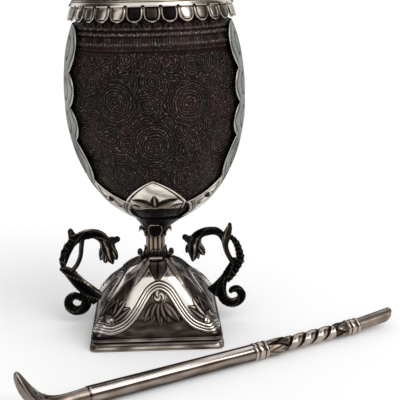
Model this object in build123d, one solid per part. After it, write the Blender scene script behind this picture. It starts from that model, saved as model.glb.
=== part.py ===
"""A silver-mounted coconut mate cup on a square domed foot with two scroll handles, and its silver straw.

All sizes are in millimetres. +Z is up, X runs from handle to handle, and -Y is the front. The origin is the
middle of the foot's underside. The straw lies in front of the cup on the same surface.
"""

from build123d import *
from math import cos, radians, sin, sqrt, tan
import os

os.makedirs("parts", exist_ok=True)

# The coconut: an egg of two halves that share the widest section. A fullness of 2 makes a half an ellipse.
nut_radius = 40.6
nut_middle_z = 113.0
nut_upper_reach = 61.8
nut_lower_reach = 56.4
nut_upper_fullness = 2.57
nut_lower_fullness = 1.88
nut_wall = 3.2
nut_top_z = 156.0
nut_lean = 1.4
nut_lean_z = 163.6
nut_pole_z = nut_middle_z - nut_lower_reach

# Sheet silver that clasps the coconut.
sheet = 1.0
fit_gap = 0.2

# Blades and cutters run this far past what they cut.
overshoot = 8.0
hair = 0.1

# Collar: a skirt of tongues, an engraved shoulder, a neck and a turned-out lip.
tongue_count = 32
tongue_tip = (38.4, 151.0)
tongue_root = (36.3, 157.3)
shoulder = (33.6, 161.2)
neck = (30.6, 165.6)
lip = (33.2, 172.4)
lip_bead = 1.1
tongue_slot = 0.5
tongue_eye = 0.6
seat_height = 1.0

# Side straps, as half widths and heights seen from the side: lobes between cusps, and two barbs at the foot.
strap_top = (10.0, 149.6)
strap_bulges = [(22.2, 140.0), (23.4, 123.0), (24.5, 107.5), (23.6, 91.0)]
strap_cusps = [(19.2, 129.8), (19.8, 114.8), (20.4, 100.5), (18.2, 80.8)]
strap_foot_z = 82.6
strap_foot_bow = (10.0, 82.1)

# Calyx: kite-shaped leaves at front and back, broad leaves at the sides, all rising from the stem.
leaf_apex_z = 84.0
leaf_bow = (7.8, 79.3)
leaf_corner = (13.9, 71.8)
leaf_waist = (4.6, 60.5)
leaf_turn = 4.4
side_leaf_top = (18.0, 80.4)
side_leaf_corner = (25.2, 71.5)
side_leaf_waist = (9.0, 58.5)
cup_top = (15.0, 60.2)
cup_base_z = 50.8
cup_base_radius = 5.2
cup_bow = 0.8
hinge_radius = 0.9
hinge_half = 3.6
rivet_radius = 1.5
rivet_angle = 41.0
rivet_z = 73.0

# Stem: a reeded column with four curled leaves at its top and four at its base.
stem_radius = 4.7
stem_base_z = 35.4
reed_count = 12
reed_depth = 0.5
reed_end = 2.0
curl_width = 6.8
curl_sheet = 1.3
upper_curl_z = 49.8
upper_curl = [(0.7, -2.6), (2.1, 0.9), (3.2, -0.6)]
upper_curl_ways = [(0.35, 1.0), (0.25, -1.0)]
lower_curl_z = 37.4
lower_curl_radius = 1.4
lower_curl_reach = 4.4

# Foot: a square skirt, a bead and a domed body, in rounded squares as (height, half width, corner).
skirt = [(0.0, 32.0, 3.2), (1.7, 30.7, 3.2), (3.8, 30.4, 3.2)]
bead = (3.8, 31.4, 3.2)
bead_z = 6.4
bead_round = 1.1
foot_wall = 1.3
foot_hollow = (-0.1, 29.1, 3.2)
foot_hollow_z = 5.6
dome = [(6.4, 31.0, 4.0), (12.0, 28.3, 5.6), (18.0, 24.4, 7.4), (24.0, 19.7, 9.0), (30.0, 14.8, 10.0)]
dome_top_half = 8.6
dome_drop = 0.8

# Handles: cast scrolls in the XZ plane. A tapering scroll runs from the volute up the stem and over the arch,
# a thin strand crosses it and ends in a bud, and a leaf head hangs from the arch.
handle_scroll = [(39.2, 15.0), (43.4, 13.6), (43.8, 9.6), (40.6, 7.2), (36.8, 7.8), (34.2, 11.4),
                 (33.8, 16.6), (35.8, 22.0), (39.6, 27.2), (43.0, 31.6), (43.2, 36.2), (41.6, 40.8),
                 (38.0, 45.2), (33.0, 47.8), (27.8, 47.6), (23.6, 45.2)]
scroll_radii = [1.5, 1.8, 2.3, 2.5, 2.6, 2.1, 1.9, 2.3]
strand_line = [(41.0, 30.0), (37.6, 33.6), (36.1, 38.2), (37.0, 42.6), (39.2, 46.4), (41.0, 50.0)]
strand_radii = [1.4, 1.3, 1.3, 2.3, 0.9]
head_line = [(24.2, 45.8), (21.6, 41.4), (20.8, 36.8), (19.8, 32.4)]
head_widths = [(2.1, 2.1), (4.2, 3.4), (3.9, 3.1), (0.8, 1.0)]
handle_pad = (30.4, 13.6, 4.2, 2.6)
handle_pad_length = 9.0
handle_knobs = [(17.2, 43.2, 2.0), (45.4, 30.2, 1.9)]
handle_shift = -1.2
handle_step = 0.9

# Straw: its distances run along its own axis, from the strainer's joint to the mouth.
straw_joint = (-29.0, -75.9)
straw_angle = 23.8
straw_rest = 4.1
tube_radius = 3.9
tube_end_radius = 3.7
tube_bore = 2.6
lower_collar_start = 79.0
twist_start = 97.4
upper_collar_start = 125.6
mouth_start = 139.7
mouth_end = 160.2
lower_collar_radius = 4.05
upper_collar_radius = 3.75
collar_groove = 0.35
ring_width = 2.0
bead_width = 3.6
twist_radius = 3.45
twist_flutes = 6
twist_depth = 0.6
twist_turn = 170.0
mouth_radius = 3.1
mouth_flare = 0.25
mouth_bend = 4.5
mouth_bevel = 38.0
strainer = [(0.0, 0.0, 3.6, 3.6), (-7.0, 0.1, 3.1, 3.1), (-13.0, 0.3, 3.7, 3.0), (-18.0, 1.8, 5.0, 3.0),
            (-22.0, 5.0, 5.8, 3.0), (-25.2, 9.8, 5.2, 2.7), (-27.4, 15.0, 3.2, 1.9), (-28.2, 18.2, 0.7, 0.6)]
strainer_hole = 0.7
strainer_rows = [(3, 0.3, 2), (4, 0.0, 3), (4, 0.6, 3), (5, 0.2, 2)]
strainer_pitch = 3.0


def nut_point(z, offset=0.0):
    """A point of the egg's section at a height, moved outwards along the section's normal by offset."""
    upper = z > nut_middle_z
    reach = nut_upper_reach if upper else nut_lower_reach
    fullness = nut_upper_fullness if upper else nut_lower_fullness
    share = abs(z - nut_middle_z) / reach
    radius = nut_radius * sqrt(max(1 - share**fullness, 0.0))
    rise = nut_radius**2 * fullness * share ** (fullness - 1) / (2 * reach)
    normal = Vector(radius, 0, rise if upper else -rise).normalized()
    return Vector(radius, 0, z) + normal * offset


def nut_curve(low_z, high_z, offset, steps=22):
    """The egg's section between two heights, its points closer together towards the pole."""
    shares = [sin(radians(90 * i / steps)) for i in range(steps + 1)]
    points = [nut_point(high_z + (low_z - high_z) * share, offset) for share in shares]
    return Spline(*reversed(points))


def nut_band(low_z, high_z, inner, outer):
    """A band of revolution that follows the egg between two offsets."""
    inside = nut_curve(low_z, high_z, inner)
    outside = nut_curve(low_z, high_z, outer)
    section = make_face([inside, Line(inside @ 1, outside @ 1), outside, Line(outside @ 0, inside @ 0)])
    return revolve(section, Axis.Z)


def lower_nut(offset):
    """The lower half of the egg as a solid, grown by offset."""
    skin = nut_curve(nut_pole_z, nut_middle_z, offset)
    middle = Vector(0, 0, (skin @ 1).Z)
    return revolve(make_face([skin, Line(skin @ 1, middle), Line(middle, skin @ 0)]), Axis.Z)


def lean(piece):
    """The coconut and what clasps it lean a little, so that their foot stands to the right of the stem."""
    return piece.rotate(Axis((0, 0, nut_lean_z), (0, 1, 0)), -nut_lean)


def section_face(points):
    """A closed face in the XZ plane from (x, z) corners."""
    return make_face(Polyline(*[Vector(x, 0, z) for x, z in points], close=True))


def coconut_shell():
    """The hollow coconut, open at the top."""
    return nut_band(nut_pole_z, nut_top_z, -nut_wall, 0.0)


def tongue_cutters():
    """The spaces between the tongues: a slot with a round eye above it, opening out to the skirt's edge."""
    tip_radius, tip_z = tongue_tip
    half_pitch = tip_radius * tan(radians(180 / tongue_count))
    half_slot = tongue_slot / 2
    bend_z = half_pitch - half_slot
    bend_x = half_pitch - bend_z * cos(radians(45))
    height = tongue_root[1] - tip_z
    space = make_face([
        Line((-half_slot, height), (half_slot, height)),
        Line((half_slot, height), (half_slot, bend_z)),
        ThreePointArc((half_slot, bend_z), (bend_x, bend_z * (1 - cos(radians(45)))), (half_pitch, 0)),
        Line((half_pitch, 0), (half_pitch, -sheet)),
        Line((half_pitch, -sheet), (-half_pitch, -sheet)),
        Line((-half_pitch, -sheet), (-half_pitch, 0)),
        ThreePointArc((-half_pitch, 0), (-bend_x, bend_z * (1 - cos(radians(45)))), (-half_slot, bend_z)),
        Line((-half_slot, bend_z), (-half_slot, height)),
    ])
    outline = space + Pos(0, height) * Circle(tongue_eye)
    blade = Pos(0, overshoot - tip_radius, tip_z) * extrude(Plane.XZ * outline, 2 * overshoot)
    return [blade.rotate(Axis.Z, 360 * (index + 0.5) / tongue_count) for index in range(tongue_count)]


def rim_collar():
    """The collar's turned sheet, cut into tongues, with a seat that lies on the coconut's rim."""
    outer = Spline(*[Vector(x, 0, z) for x, z in (tongue_tip, tongue_root, shoulder, neck, lip)])
    inner = Spline(*[Vector(x - sheet, 0, z) for x, z in (tongue_tip, tongue_root, shoulder, neck, lip)])
    skin = make_face([outer, Line(outer @ 1, inner @ 1), inner, Line(inner @ 0, outer @ 0)])
    spaces = tongue_cutters()
    body = revolve(skin, Axis.Z) - spaces[::2] - spaces[1::2]
    bead = revolve(Plane.XZ * Pos(lip[0] - sheet / 2, lip[1]) * Circle(lip_bead), Axis.Z)
    seat_inner = nut_point(nut_top_z, -nut_wall).X
    seat_outer = tongue_root[0] - sheet / 2
    seat_section = Pos((seat_inner + seat_outer) / 2, nut_top_z + seat_height / 2) * Rectangle(
        seat_outer - seat_inner, seat_height
    )
    return body + bead + revolve(Plane.XZ * seat_section, Axis.Z)


def strap_outline():
    """The strap seen from the side: lobes down each edge, and a bowed lower edge between its barbs."""
    edges = [Line((0, strap_top[1]), strap_top)]
    start = strap_top
    for bulge, cusp in zip(strap_bulges, strap_cusps):
        edges.append(ThreePointArc(start, bulge, cusp))
        start = cusp
    edges.append(ThreePointArc(start, strap_foot_bow, (0, strap_foot_z)))
    edges.append(Line((0, strap_foot_z), (0, strap_top[1])))
    half = make_face(edges)
    return half + mirror(half, Plane.YZ)


def strap(side):
    """A strap of sheet silver that follows the coconut."""
    band = nut_band(strap_cusps[-1][1] - overshoot, strap_top[1] + sheet, fit_gap, fit_gap + sheet)
    return band & extrude(Plane.YZ * strap_outline(), side * (nut_radius + overshoot))


def kite_outline():
    """A front leaf seen square on: bowed upper edges and a narrow waist over the stem."""
    root = (leaf_waist[0], nut_pole_z - overshoot)
    half = make_face([
        Line((0, root[1]), (0, leaf_apex_z)),
        ThreePointArc((0, leaf_apex_z), leaf_bow, leaf_corner),
        Line(leaf_corner, leaf_waist),
        Line(leaf_waist, root),
        Line(root, (0, root[1])),
    ])
    return half + mirror(half, Plane.YZ)


def side_leaf_outline():
    """A broad side leaf seen square on: a straight top under the strap and long edges to its waist."""
    root = (side_leaf_waist[0], nut_pole_z - overshoot)
    corners = [(0, side_leaf_top[1]), side_leaf_top, side_leaf_corner, side_leaf_waist, root, (0, root[1])]
    half = make_face(Polyline(*corners, close=True))
    return half + mirror(half, Plane.YZ)


def calyx_cup():
    """The flared cup between the stem and the coconut, hollowed to the coconut's form."""
    top_radius, top_z = cup_top
    top_x = (nut_lean_z - top_z) * tan(radians(nut_lean))
    middle_radius = (cup_base_radius + top_radius) / 2 - cup_bow
    rings = [
        Pos(0, 0, cup_base_z) * Circle(cup_base_radius),
        Pos(top_x / 2, 0, (cup_base_z + top_z) / 2) * Circle(middle_radius),
        Pos(top_x, 0, top_z) * Circle(top_radius),
    ]
    return loft(rings) - lean(lower_nut(fit_gap + sheet / 2))


def calyx():
    """Four leaves that rise from the cup."""
    bowl = nut_band(nut_pole_z, leaf_apex_z + sheet, fit_gap, fit_gap + sheet)
    blades = None
    for half_turn in range(2):
        kite = extrude(Plane.XZ * kite_outline(), nut_radius + overshoot).rotate(Axis.Z, -leaf_turn)
        broad = extrude(Plane.YZ * side_leaf_outline(), nut_radius + overshoot)
        pair = (kite + broad).rotate(Axis.Z, 180 * half_turn)
        blades = pair if blades is None else blades + pair
    return lean(bowl & blades) + calyx_cup()


def hinge_pin(side):
    """The pin in the knuckle where a strap's foot meets its leaf."""
    mid_z = (strap_foot_z + side_leaf_top[1]) / 2
    at = nut_point(mid_z, fit_gap + hinge_radius + hair)
    return Pos(side * at.X, 0, mid_z) * Rot(90, 0, 0) * Cylinder(hinge_radius, 2 * hinge_half)


def rivet(side, front):
    """A domed rivet through a side leaf."""
    base = nut_point(rivet_z, fit_gap + sheet)
    seat = Plane(origin=base, z_dir=nut_point(rivet_z, fit_gap + sheet + 1.0) - base)
    keep = Pos(0, 0, rivet_radius) * Box(4 * rivet_radius, 4 * rivet_radius, 2 * rivet_radius)
    head = seat * (Sphere(rivet_radius) & keep)
    return head.rotate(Axis.Z, (0 if side > 0 else 180) - side * front * rivet_angle)


def stem():
    """The reeded column between the foot and the calyx's cup."""
    low = (Align.CENTER, Align.CENTER, Align.MIN)
    height = cup_base_z - stem_base_z
    column = Pos(0, 0, stem_base_z) * Cylinder(stem_radius, height, align=low)
    groove = Pos(stem_radius + reed_depth, 0, stem_base_z + reed_end) * Cylinder(
        2 * reed_depth, height - 2 * reed_end, align=low
    )
    return column - [groove.rotate(Axis.Z, 360 * (index + 0.5) / reed_count) for index in range(reed_count)]


def upper_leaf(turn):
    """A leaf that curls out and down from the stem's top, with a round end."""
    line = Spline(*[(stem_radius + x, upper_curl_z + z) for x, z in upper_curl], tangents=upper_curl_ways)
    profile = Plane.XZ * trace(line, curl_sheet)
    leaf = extrude(profile, curl_width / 2, both=True)
    return leaf.rotate(Axis.Z, 90 * turn)


def lower_leaf(turn):
    """A leaf that rolls outwards at the stem's base."""
    root_x = stem_radius + hair
    roll_x = stem_radius + lower_curl_reach - lower_curl_radius
    roll = Plane.XZ * Pos(roll_x, lower_curl_z) * Circle(lower_curl_radius)
    tongue_z = lower_curl_z - lower_curl_radius + curl_sheet / 2
    tongue = Plane.XZ * Pos((root_x + roll_x) / 2, tongue_z) * Rectangle(roll_x - root_x, curl_sheet)
    leaf = extrude(roll, curl_width / 2, both=True) + extrude(tongue, curl_width / 2, both=True)
    return leaf.rotate(Axis.Z, 90 * turn)


def square_section(z, half, corner):
    """A rounded square at a height."""
    return Pos(0, 0, z) * RectangleRounded(2 * half, 2 * half, corner)


def dome_body(inset):
    """The domed body, or with an inset, the hollow inside it."""
    sections = []
    for z, half, corner in dome:
        sections.append(square_section(z - inset * dome_drop, half - inset, corner - inset))
    top_half = dome_top_half - inset / 2
    top = square_section(stem_base_z - inset, top_half, top_half - hair)
    return loft([*sections, top])


def foot():
    """The skirt, the bead and the dome as one hollow casting, open below."""
    base = loft([square_section(*section) for section in skirt])
    ring = extrude(square_section(*bead), bead_z - bead[0])
    rims = ring.edges().group_by(Axis.Z)
    ring = fillet(rims[0] + rims[-1], bead_round)
    hollow = extrude(square_section(*foot_hollow), foot_hollow_z - foot_hollow[0])
    return base + ring + dome_body(0.0) - hollow - dome_body(foot_wall)


def tapered_tube(points, radii):
    """A tube along a smooth line in the XZ plane whose round section changes through the radii."""
    path = Spline(*[Vector(x, 0, z) for x, z in points])
    sections = []
    for index, size in enumerate(radii):
        share = index / (len(radii) - 1)
        width, depth = size if isinstance(size, tuple) else (size, size)
        section = Plane(origin=path @ share, z_dir=path % share, x_dir=(0, 1, 0))
        sections.append(section * Ellipse(depth, width))
    return sweep(sections, path=path, multisection=True)


def handle():
    """The right-hand casting before it is fitted to the foot."""
    body = tapered_tube(handle_scroll, scroll_radii)
    body = body + tapered_tube(strand_line, strand_radii)
    body = body + tapered_tube(head_line, head_widths)
    pad_x, pad_z, foot_radius, scroll_radius = handle_pad
    body = body + Pos(pad_x, 0, pad_z) * Rot(0, 90, 0) * Cone(foot_radius, scroll_radius, handle_pad_length)
    for x, z, radius in handle_knobs:
        body = body + Pos(x, 0, z) * Sphere(radius)
    return body


def handle_on_side(side):
    """The casting turned to its side, set on the foot and cut to the foot's face."""
    casting = handle() if side > 0 else mirror(handle(), Plane.YZ)
    casting = Pos(handle_shift, 0, side * handle_step) * casting
    return (casting - foot_envelope()).solids().sort_by(SortBy.VOLUME)[-1]


def foot_envelope():
    """The foot's outer form without its hollow, a hair larger, to seat the handles on."""
    return extrude(square_section(*skirt[0]), bead_z) + dome_body(-hair / 2)


def straw_place(piece):
    """Moves a piece from the straw's own axis to where it lies."""
    return Pos(straw_joint[0], straw_joint[1], straw_rest) * Rot(0, 0, straw_angle) * piece


def turned(profile):
    """A piece turned about the straw's axis from (distance, radius) corners, with the bore left open."""
    corners = [(profile[0][0], tube_bore), *profile, (profile[-1][0], tube_bore)]
    return revolve(section_face(corners), Axis.X)


def straw_tube():
    """The plain tube, a little wider at the strainer."""
    return turned([(0.0, tube_radius), (lower_collar_start, tube_end_radius)])


def rounded(start, width, radius, steps=6):
    """The corners of a turned ring with a rounded back."""
    shares = [step / steps for step in range(steps + 1)]
    return [(start + width * share, radius - collar_groove * (2 * share - 1) ** 2) for share in shares]


def straw_collar(start, end, radius, rings_first):
    """A ring, a bead and a ring side by side, and an embossed band on one side of them."""
    rings_length = 2 * ring_width + bead_width
    band_length = end - start - rings_length
    rings_start = start if rings_first else start + band_length
    rings = [
        *rounded(rings_start, ring_width, radius),
        *rounded(rings_start + ring_width, bead_width, radius)[1:],
        *rounded(rings_start + ring_width + bead_width, ring_width, radius)[1:],
    ]
    band_start = start + rings_length if rings_first else start
    band = rounded(band_start, band_length, radius)
    return turned([*rings, *band[1:]] if rings_first else [*band, *rings[1:]])


def straw_twist():
    """A tube with spiral flutes between the collars."""
    length = upper_collar_start - twist_start
    rod = extrude(Plane.YZ * (Circle(twist_radius) - Circle(tube_bore)), length)
    helix = Helix(pitch=length * 360 / twist_turn, height=length, radius=twist_radius + twist_depth / 2)
    groove = sweep(Plane(origin=helix @ 0, z_dir=helix % 0) * Circle(twist_depth), path=helix, is_frenet=True)
    groove = groove.rotate(Axis.Y, 90)
    for flute in range(twist_flutes):
        rod = rod - groove.rotate(Axis.X, 360 * flute / twist_flutes)
    return Pos(twist_start, 0, 0) * rod


def straw_mouthpiece():
    """The bored tube at the mouth, bent up a little and cut slantwise."""
    length = mouth_end - mouth_start
    end = Vector(mouth_end, 0, length * tan(radians(mouth_bend)))
    end_way = Vector(cos(radians(mouth_bend)), 0, sin(radians(mouth_bend)))
    path = Spline((mouth_start, 0, 0), end, tangents=[(1, 0, 0), end_way])
    start_plane = Plane(origin=path @ 0, z_dir=path % 0, x_dir=(0, 1, 0))
    end_plane = Plane(origin=path @ 1, z_dir=path % 1, x_dir=(0, 1, 0))
    outside = loft([start_plane * Circle(mouth_radius), end_plane * Circle(mouth_radius + mouth_flare)])
    inside = loft([start_plane * Circle(tube_bore - hair), end_plane * Circle(tube_bore)])
    slant = end_plane * Pos(0, 0, -mouth_radius * tan(radians(mouth_bevel))) * Rot(mouth_bevel, 0, 0)
    waste = slant * Pos(0, 0, length / 2) * Box(4 * length, 4 * length, length)
    return outside - inside - waste


def straw_strainer():
    """A leaf-shaped bulb that turns up to a point, pierced with small holes."""
    line = Spline(*[Vector(x, 0, z) for x, z, _, _ in strainer])
    faces = []
    for index, (x, z, width, height) in enumerate(strainer):
        along = Vector(-1, 0, 0) if index == 0 else line % line.param_at_point(Vector(x, 0, z))
        faces.append(Plane(origin=(x, 0, z), z_dir=along, x_dir=(0, 1, 0)) * Ellipse(width, height))
    body = loft(faces)
    for station, share, count in strainer_rows:
        here, after = strainer[station], strainer[station + 1]
        x = here[0] + (after[0] - here[0]) * share
        z = here[1] + (after[1] - here[1]) * share
        across = Vector(after[1] - here[1], 0, here[0] - after[0])
        for column in range(count):
            y = (column - (count - 1) / 2) * strainer_pitch
            body = body - Plane(origin=(x, y, z), z_dir=across) * Cylinder(strainer_hole, 2 * overshoot)
    return body


def write(name, shape):
    export_step(shape, f"parts/{name}.step")


def main():
    write("coconut_shell", lean(coconut_shell()))
    write("rim_collar", lean(rim_collar()))
    write("calyx", calyx())
    for name, side in (("left", -1), ("right", 1)):
        write(f"strap_{name}", lean(strap(side)))
        write(f"strap_pin_{name}", lean(hinge_pin(side)))
        write(f"handle_{name}", handle_on_side(side))
        for place, front in (("front", 1), ("back", -1)):
            write(f"rivet_{name}_{place}", lean(rivet(side, front)))
    write("stem", stem())
    for turn in range(4):
        write(f"upper_leaf_{turn + 1}", upper_leaf(turn))
        write(f"lower_leaf_{turn + 1}", lower_leaf(turn))
    write("foot", foot())
    write("straw_tube", straw_place(straw_tube()))
    lower_collar = straw_collar(lower_collar_start, twist_start, lower_collar_radius, True)
    upper_collar = straw_collar(upper_collar_start, mouth_start, upper_collar_radius, False)
    write("straw_lower_collar", straw_place(lower_collar))
    write("straw_twist", straw_place(straw_twist()))
    write("straw_upper_collar", straw_place(upper_collar))
    write("straw_mouthpiece", straw_place(straw_mouthpiece()))
    write("straw_strainer", straw_place(straw_strainer()))


main()
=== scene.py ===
# Silver-mounted coconut mate cup and its straw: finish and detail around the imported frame.
# Lengths in the dictionaries are millimetres, angles are degrees.
import bpy, bmesh
from math import sin, cos, tan, pi, sqrt, atan2, hypot, radians, degrees, exp, floor
from mathutils import Vector, Matrix, noise


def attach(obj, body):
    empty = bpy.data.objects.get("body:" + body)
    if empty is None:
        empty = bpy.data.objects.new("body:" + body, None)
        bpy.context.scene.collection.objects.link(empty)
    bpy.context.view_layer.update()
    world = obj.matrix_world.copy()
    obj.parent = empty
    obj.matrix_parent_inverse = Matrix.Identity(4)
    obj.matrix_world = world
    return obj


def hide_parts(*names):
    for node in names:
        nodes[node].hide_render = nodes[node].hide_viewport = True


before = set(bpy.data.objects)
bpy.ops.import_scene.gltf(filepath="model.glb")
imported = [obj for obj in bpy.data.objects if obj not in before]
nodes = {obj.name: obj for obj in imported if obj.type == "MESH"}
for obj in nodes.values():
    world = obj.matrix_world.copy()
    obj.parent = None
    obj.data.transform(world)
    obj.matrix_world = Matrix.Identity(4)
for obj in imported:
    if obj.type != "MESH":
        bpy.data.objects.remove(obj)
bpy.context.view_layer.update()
mm = 0.001
print("frame loaded:", len(nodes), "nodes")


def smoothStep(low, high, x):
    t = min(max((x - low) / (high - low), 0.0), 1.0)
    return t * t * (3 - 2 * t)


def ridge(distance, width):
    # a soft bump that is 1 on the line and 0 beyond its width
    return exp(-(distance / width) ** 2)


def throughPoints(points, share):
    # a smooth line through points (Catmull-Rom), share runs 0 to 1
    spans = len(points) - 1
    at = min(max(share, 0.0), 1.0) * spans
    i = min(int(at), spans - 1)
    t = at - i
    p = [points[min(max(i + k, 0), spans)] for k in (-1, 0, 1, 2)]
    return tuple(0.5 * (2 * b + (c - a) * t + (2 * a - 5 * b + 4 * c - d) * t * t
                        + (3 * b - a - 3 * c + d) * t ** 3)
                 for a, b, c, d in zip(*p))


def byHeight(rows, z):
    # reads a value between (z, value) rows
    if z <= rows[0][0]:
        return rows[0][1]
    for (z0, v0), (z1, v1) in zip(rows, rows[1:]):
        if z <= z1:
            return v0 + (v1 - v0) * (z - z0) / (z1 - z0)
    return rows[-1][1]


def distanceToPath(path, x, z):
    # nearest distance from (x, z) to a line of short straight steps
    best = 1e9
    for (x0, z0), (x1, z1) in zip(path, path[1:]):
        dx, dz = x1 - x0, z1 - z0
        t = min(max(((x - x0) * dx + (z - z0) * dz) / (dx * dx + dz * dz + 1e-12), 0.0), 1.0)
        best = min(best, hypot(x - x0 - dx * t, z - z0 - dz * t))
    return best


def leafMask(root, tip, width, x, z, bend=0.0):
    # 1 inside a pointed leaf from root to tip, 0 outside; also gives how far along and across
    dx, dz = tip[0] - root[0], tip[1] - root[1]
    length = hypot(dx, dz)
    along = ((x - root[0]) * dx + (z - root[1]) * dz) / length / length
    across = ((x - root[0]) * dz - (z - root[1]) * dx) / length
    across -= bend * sin(pi * min(max(along, 0.0), 1.0))
    if along <= 0 or along >= 1:
        return 0.0, along, across / width
    half = width * sin(pi * along ** 0.8) ** 0.8
    return smoothStep(half, half * 0.8, abs(across)), along, across / (half + 1e-6)


def mappedGrid(bm, columns, rows, place, wrap=False):
    # a flat grid whose points are moved onto a surface; place(u, v) gives a point in mm and a darkening
    # value: tarnish, and on some pieces also painted dark reflections and painted highlights
    tarnishAndPaintedLight = bm.verts.layers.float.get("tarnishAndPaintedLight") or bm.verts.layers.float.new("tarnishAndPaintedLight")
    made = bmesh.ops.create_grid(bm, x_segments=columns, y_segments=rows, size=1)["verts"]
    for v in made:
        point, dark = place((v.co.x + 1) / 2, (v.co.y + 1) / 2)
        v.co = Vector(point) * mm
        v[tarnishAndPaintedLight] = dark
    if wrap:
        edge = [v for v in made if v.is_boundary]
        bmesh.ops.remove_doubles(bm, verts=edge, dist=0.00001)
    return [v for v in made if v.is_valid]


def sweptTube(bm, line, radius, steps, segments, shape=None, dark=None, flat=1.0):
    # a ring carried along a line and extruded step by step; shape(share, angle) scales the ring
    tarnishAndPaintedLight = bm.verts.layers.float.get("tarnishAndPaintedLight") or bm.verts.layers.float.new("tarnishAndPaintedLight")
    ring = bmesh.ops.create_circle(bm, cap_ends=False, segments=segments, radius=1)["verts"]
    edges = list({e for v in ring for e in v.link_edges})
    order = list(ring)
    allRings = []
    side = None
    for step in range(steps + 1):
        share = step / steps
        here = Vector(line(share))
        ahead = (Vector(line(min(share + 0.01, 1))) - Vector(line(max(share - 0.01, 0)))).normalized()
        if side is None:
            side = Vector((0, 1, 0)) if abs(ahead.y) < 0.9 else Vector((0, 0, 1))
        side = (side - ahead * side.dot(ahead)).normalized()
        up = ahead.cross(side)
        if step:
            made = bmesh.ops.extrude_edge_only(bm, edges=edges)["geom"]
            edges = [g for g in made if isinstance(g, bmesh.types.BMEdge)]
            fresh = [g for g in made if isinstance(g, bmesh.types.BMVert)]
            follow = {}
            for v in fresh:
                for e in v.link_edges:
                    other = e.other_vert(v)
                    if other in order:
                        follow[other] = v
            order = [follow[v] for v in order]
        for i, v in enumerate(order):
            angle = 2 * pi * i / segments
            grow = shape(share, angle) if shape else 1.0
            size = radius(share) * grow
            v.co = (here + side * cos(angle) * size * flat + up * sin(angle) * size) * mm
            v[tarnishAndPaintedLight] = dark(share, angle) if dark else 0.0
        allRings.append(list(order))
    for loop in (allRings[0], allRings[-1]):
        rim = [e for v in loop for e in v.link_edges if e.is_boundary]
        bmesh.ops.holes_fill(bm, edges=list(set(rim)), sides=segments)


def ball(bm, centre, radius, dark=0.0, stretch=(1, 1, 1)):
    tarnishAndPaintedLight = bm.verts.layers.float.get("tarnishAndPaintedLight") or bm.verts.layers.float.new("tarnishAndPaintedLight")
    made = bmesh.ops.create_icosphere(bm, subdivisions=3, radius=radius * mm)["verts"]
    for v in made:
        v.co = Vector((v.co.x * stretch[0], v.co.y * stretch[1],
                       v.co.z * stretch[2])) + Vector(centre) * mm
        v[tarnishAndPaintedLight] = dark
    return made


def finishPiece(name, bm, material, replaced, wall=0.0, wallSide=-1.0):
    bmesh.ops.remove_doubles(bm, verts=bm.verts, dist=0.000005)
    bmesh.ops.recalc_face_normals(bm, faces=bm.faces)
    mesh = bpy.data.meshes.new(name)
    bm.to_mesh(mesh)
    bm.free()
    mesh.shade_smooth()
    piece = bpy.data.objects.new(name, mesh)
    bpy.context.scene.collection.objects.link(piece)
    mesh.materials.append(material)
    if wall:
        thick = piece.modifiers.new("wall", "SOLIDIFY")
        thick.thickness = wall * mm
        thick.offset = wallSide
        thick.use_even_offset = False
    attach(piece, "root")
    if replaced:
        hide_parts(*replaced)
    return piece


def newBmesh():
    bm = bmesh.new()
    bm.verts.layers.float.new("tarnishAndPaintedLight")
    return bm


def startMaterial(name):
    material = bpy.data.materials.new(name)
    material.use_nodes = True
    tree = material.node_tree
    tree.nodes.clear()
    output = tree.nodes.new("ShaderNodeOutputMaterial")
    shader = tree.nodes.new("ShaderNodeBsdfPrincipled")
    tree.links.new(shader.outputs["BSDF"], output.inputs["Surface"])
    return material, tree, shader


def noiseNode(tree, scale, detail, roughness=0.55, stretch=(1, 1, 1)):
    place = tree.nodes.new("ShaderNodeTexCoord")
    mapping = tree.nodes.new("ShaderNodeMapping")
    mapping.inputs["Scale"].default_value = stretch
    pattern = tree.nodes.new("ShaderNodeTexNoise")
    pattern.inputs["Scale"].default_value = scale
    pattern.inputs["Detail"].default_value = detail
    pattern.inputs["Roughness"].default_value = roughness
    tree.links.new(place.outputs["Object"], mapping.inputs["Vector"])
    tree.links.new(mapping.outputs["Vector"], pattern.inputs["Vector"])
    return pattern.outputs["Fac"]


def rampNode(tree, source, stops):
    ramp = tree.nodes.new("ShaderNodeValToRGB")
    ramp.color_ramp.elements[0].position = stops[0][0]
    ramp.color_ramp.elements[0].color = (*stops[0][1], 1)
    ramp.color_ramp.elements[1].position = stops[-1][0]
    ramp.color_ramp.elements[1].color = (*stops[-1][1], 1)
    for position, colour in stops[1:-1]:
        ramp.color_ramp.elements.new(position).color = (*colour, 1)
    tree.links.new(source, ramp.inputs["Fac"])
    return ramp.outputs["Color"]


def mathNode(tree, operation, first, second, clamp=False):
    node = tree.nodes.new("ShaderNodeMath")
    node.operation = operation
    node.use_clamp = clamp
    for socket, value in zip(node.inputs, (first, second)):
        if isinstance(value, (int, float)):
            socket.default_value = value
        else:
            tree.links.new(value, socket)
    return node.outputs["Value"]


def mixNode(tree, share, first, second):
    node = tree.nodes.new("ShaderNodeMix")
    node.data_type = "RGBA"
    for socket, value in ((node.inputs["Factor"], share), (node.inputs["A"], first),
                          (node.inputs["B"], second)):
        if isinstance(value, tuple):
            node.inputs["A" if value is first else "B"].default_value = ((*value, 1) if len(value) == 3
                                                                         else value)
        elif isinstance(value, (int, float)):
            socket.default_value = value
        else:
            tree.links.new(value, [s for s in node.inputs if s.name == socket.name
                                   and s.type == ("VALUE" if socket.name == "Factor" else "RGBA")][0])
    return [s for s in node.outputs if s.type == "RGBA"][0]


def bumpNode(tree, shader, height, strength, distance):
    bump = tree.nodes.new("ShaderNodeBump")
    bump.inputs["Strength"].default_value = strength
    bump.inputs["Distance"].default_value = distance
    tree.links.new(height, bump.inputs["Height"])
    tree.links.new(bump.outputs["Normal"], shader.inputs["Normal"])


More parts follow.
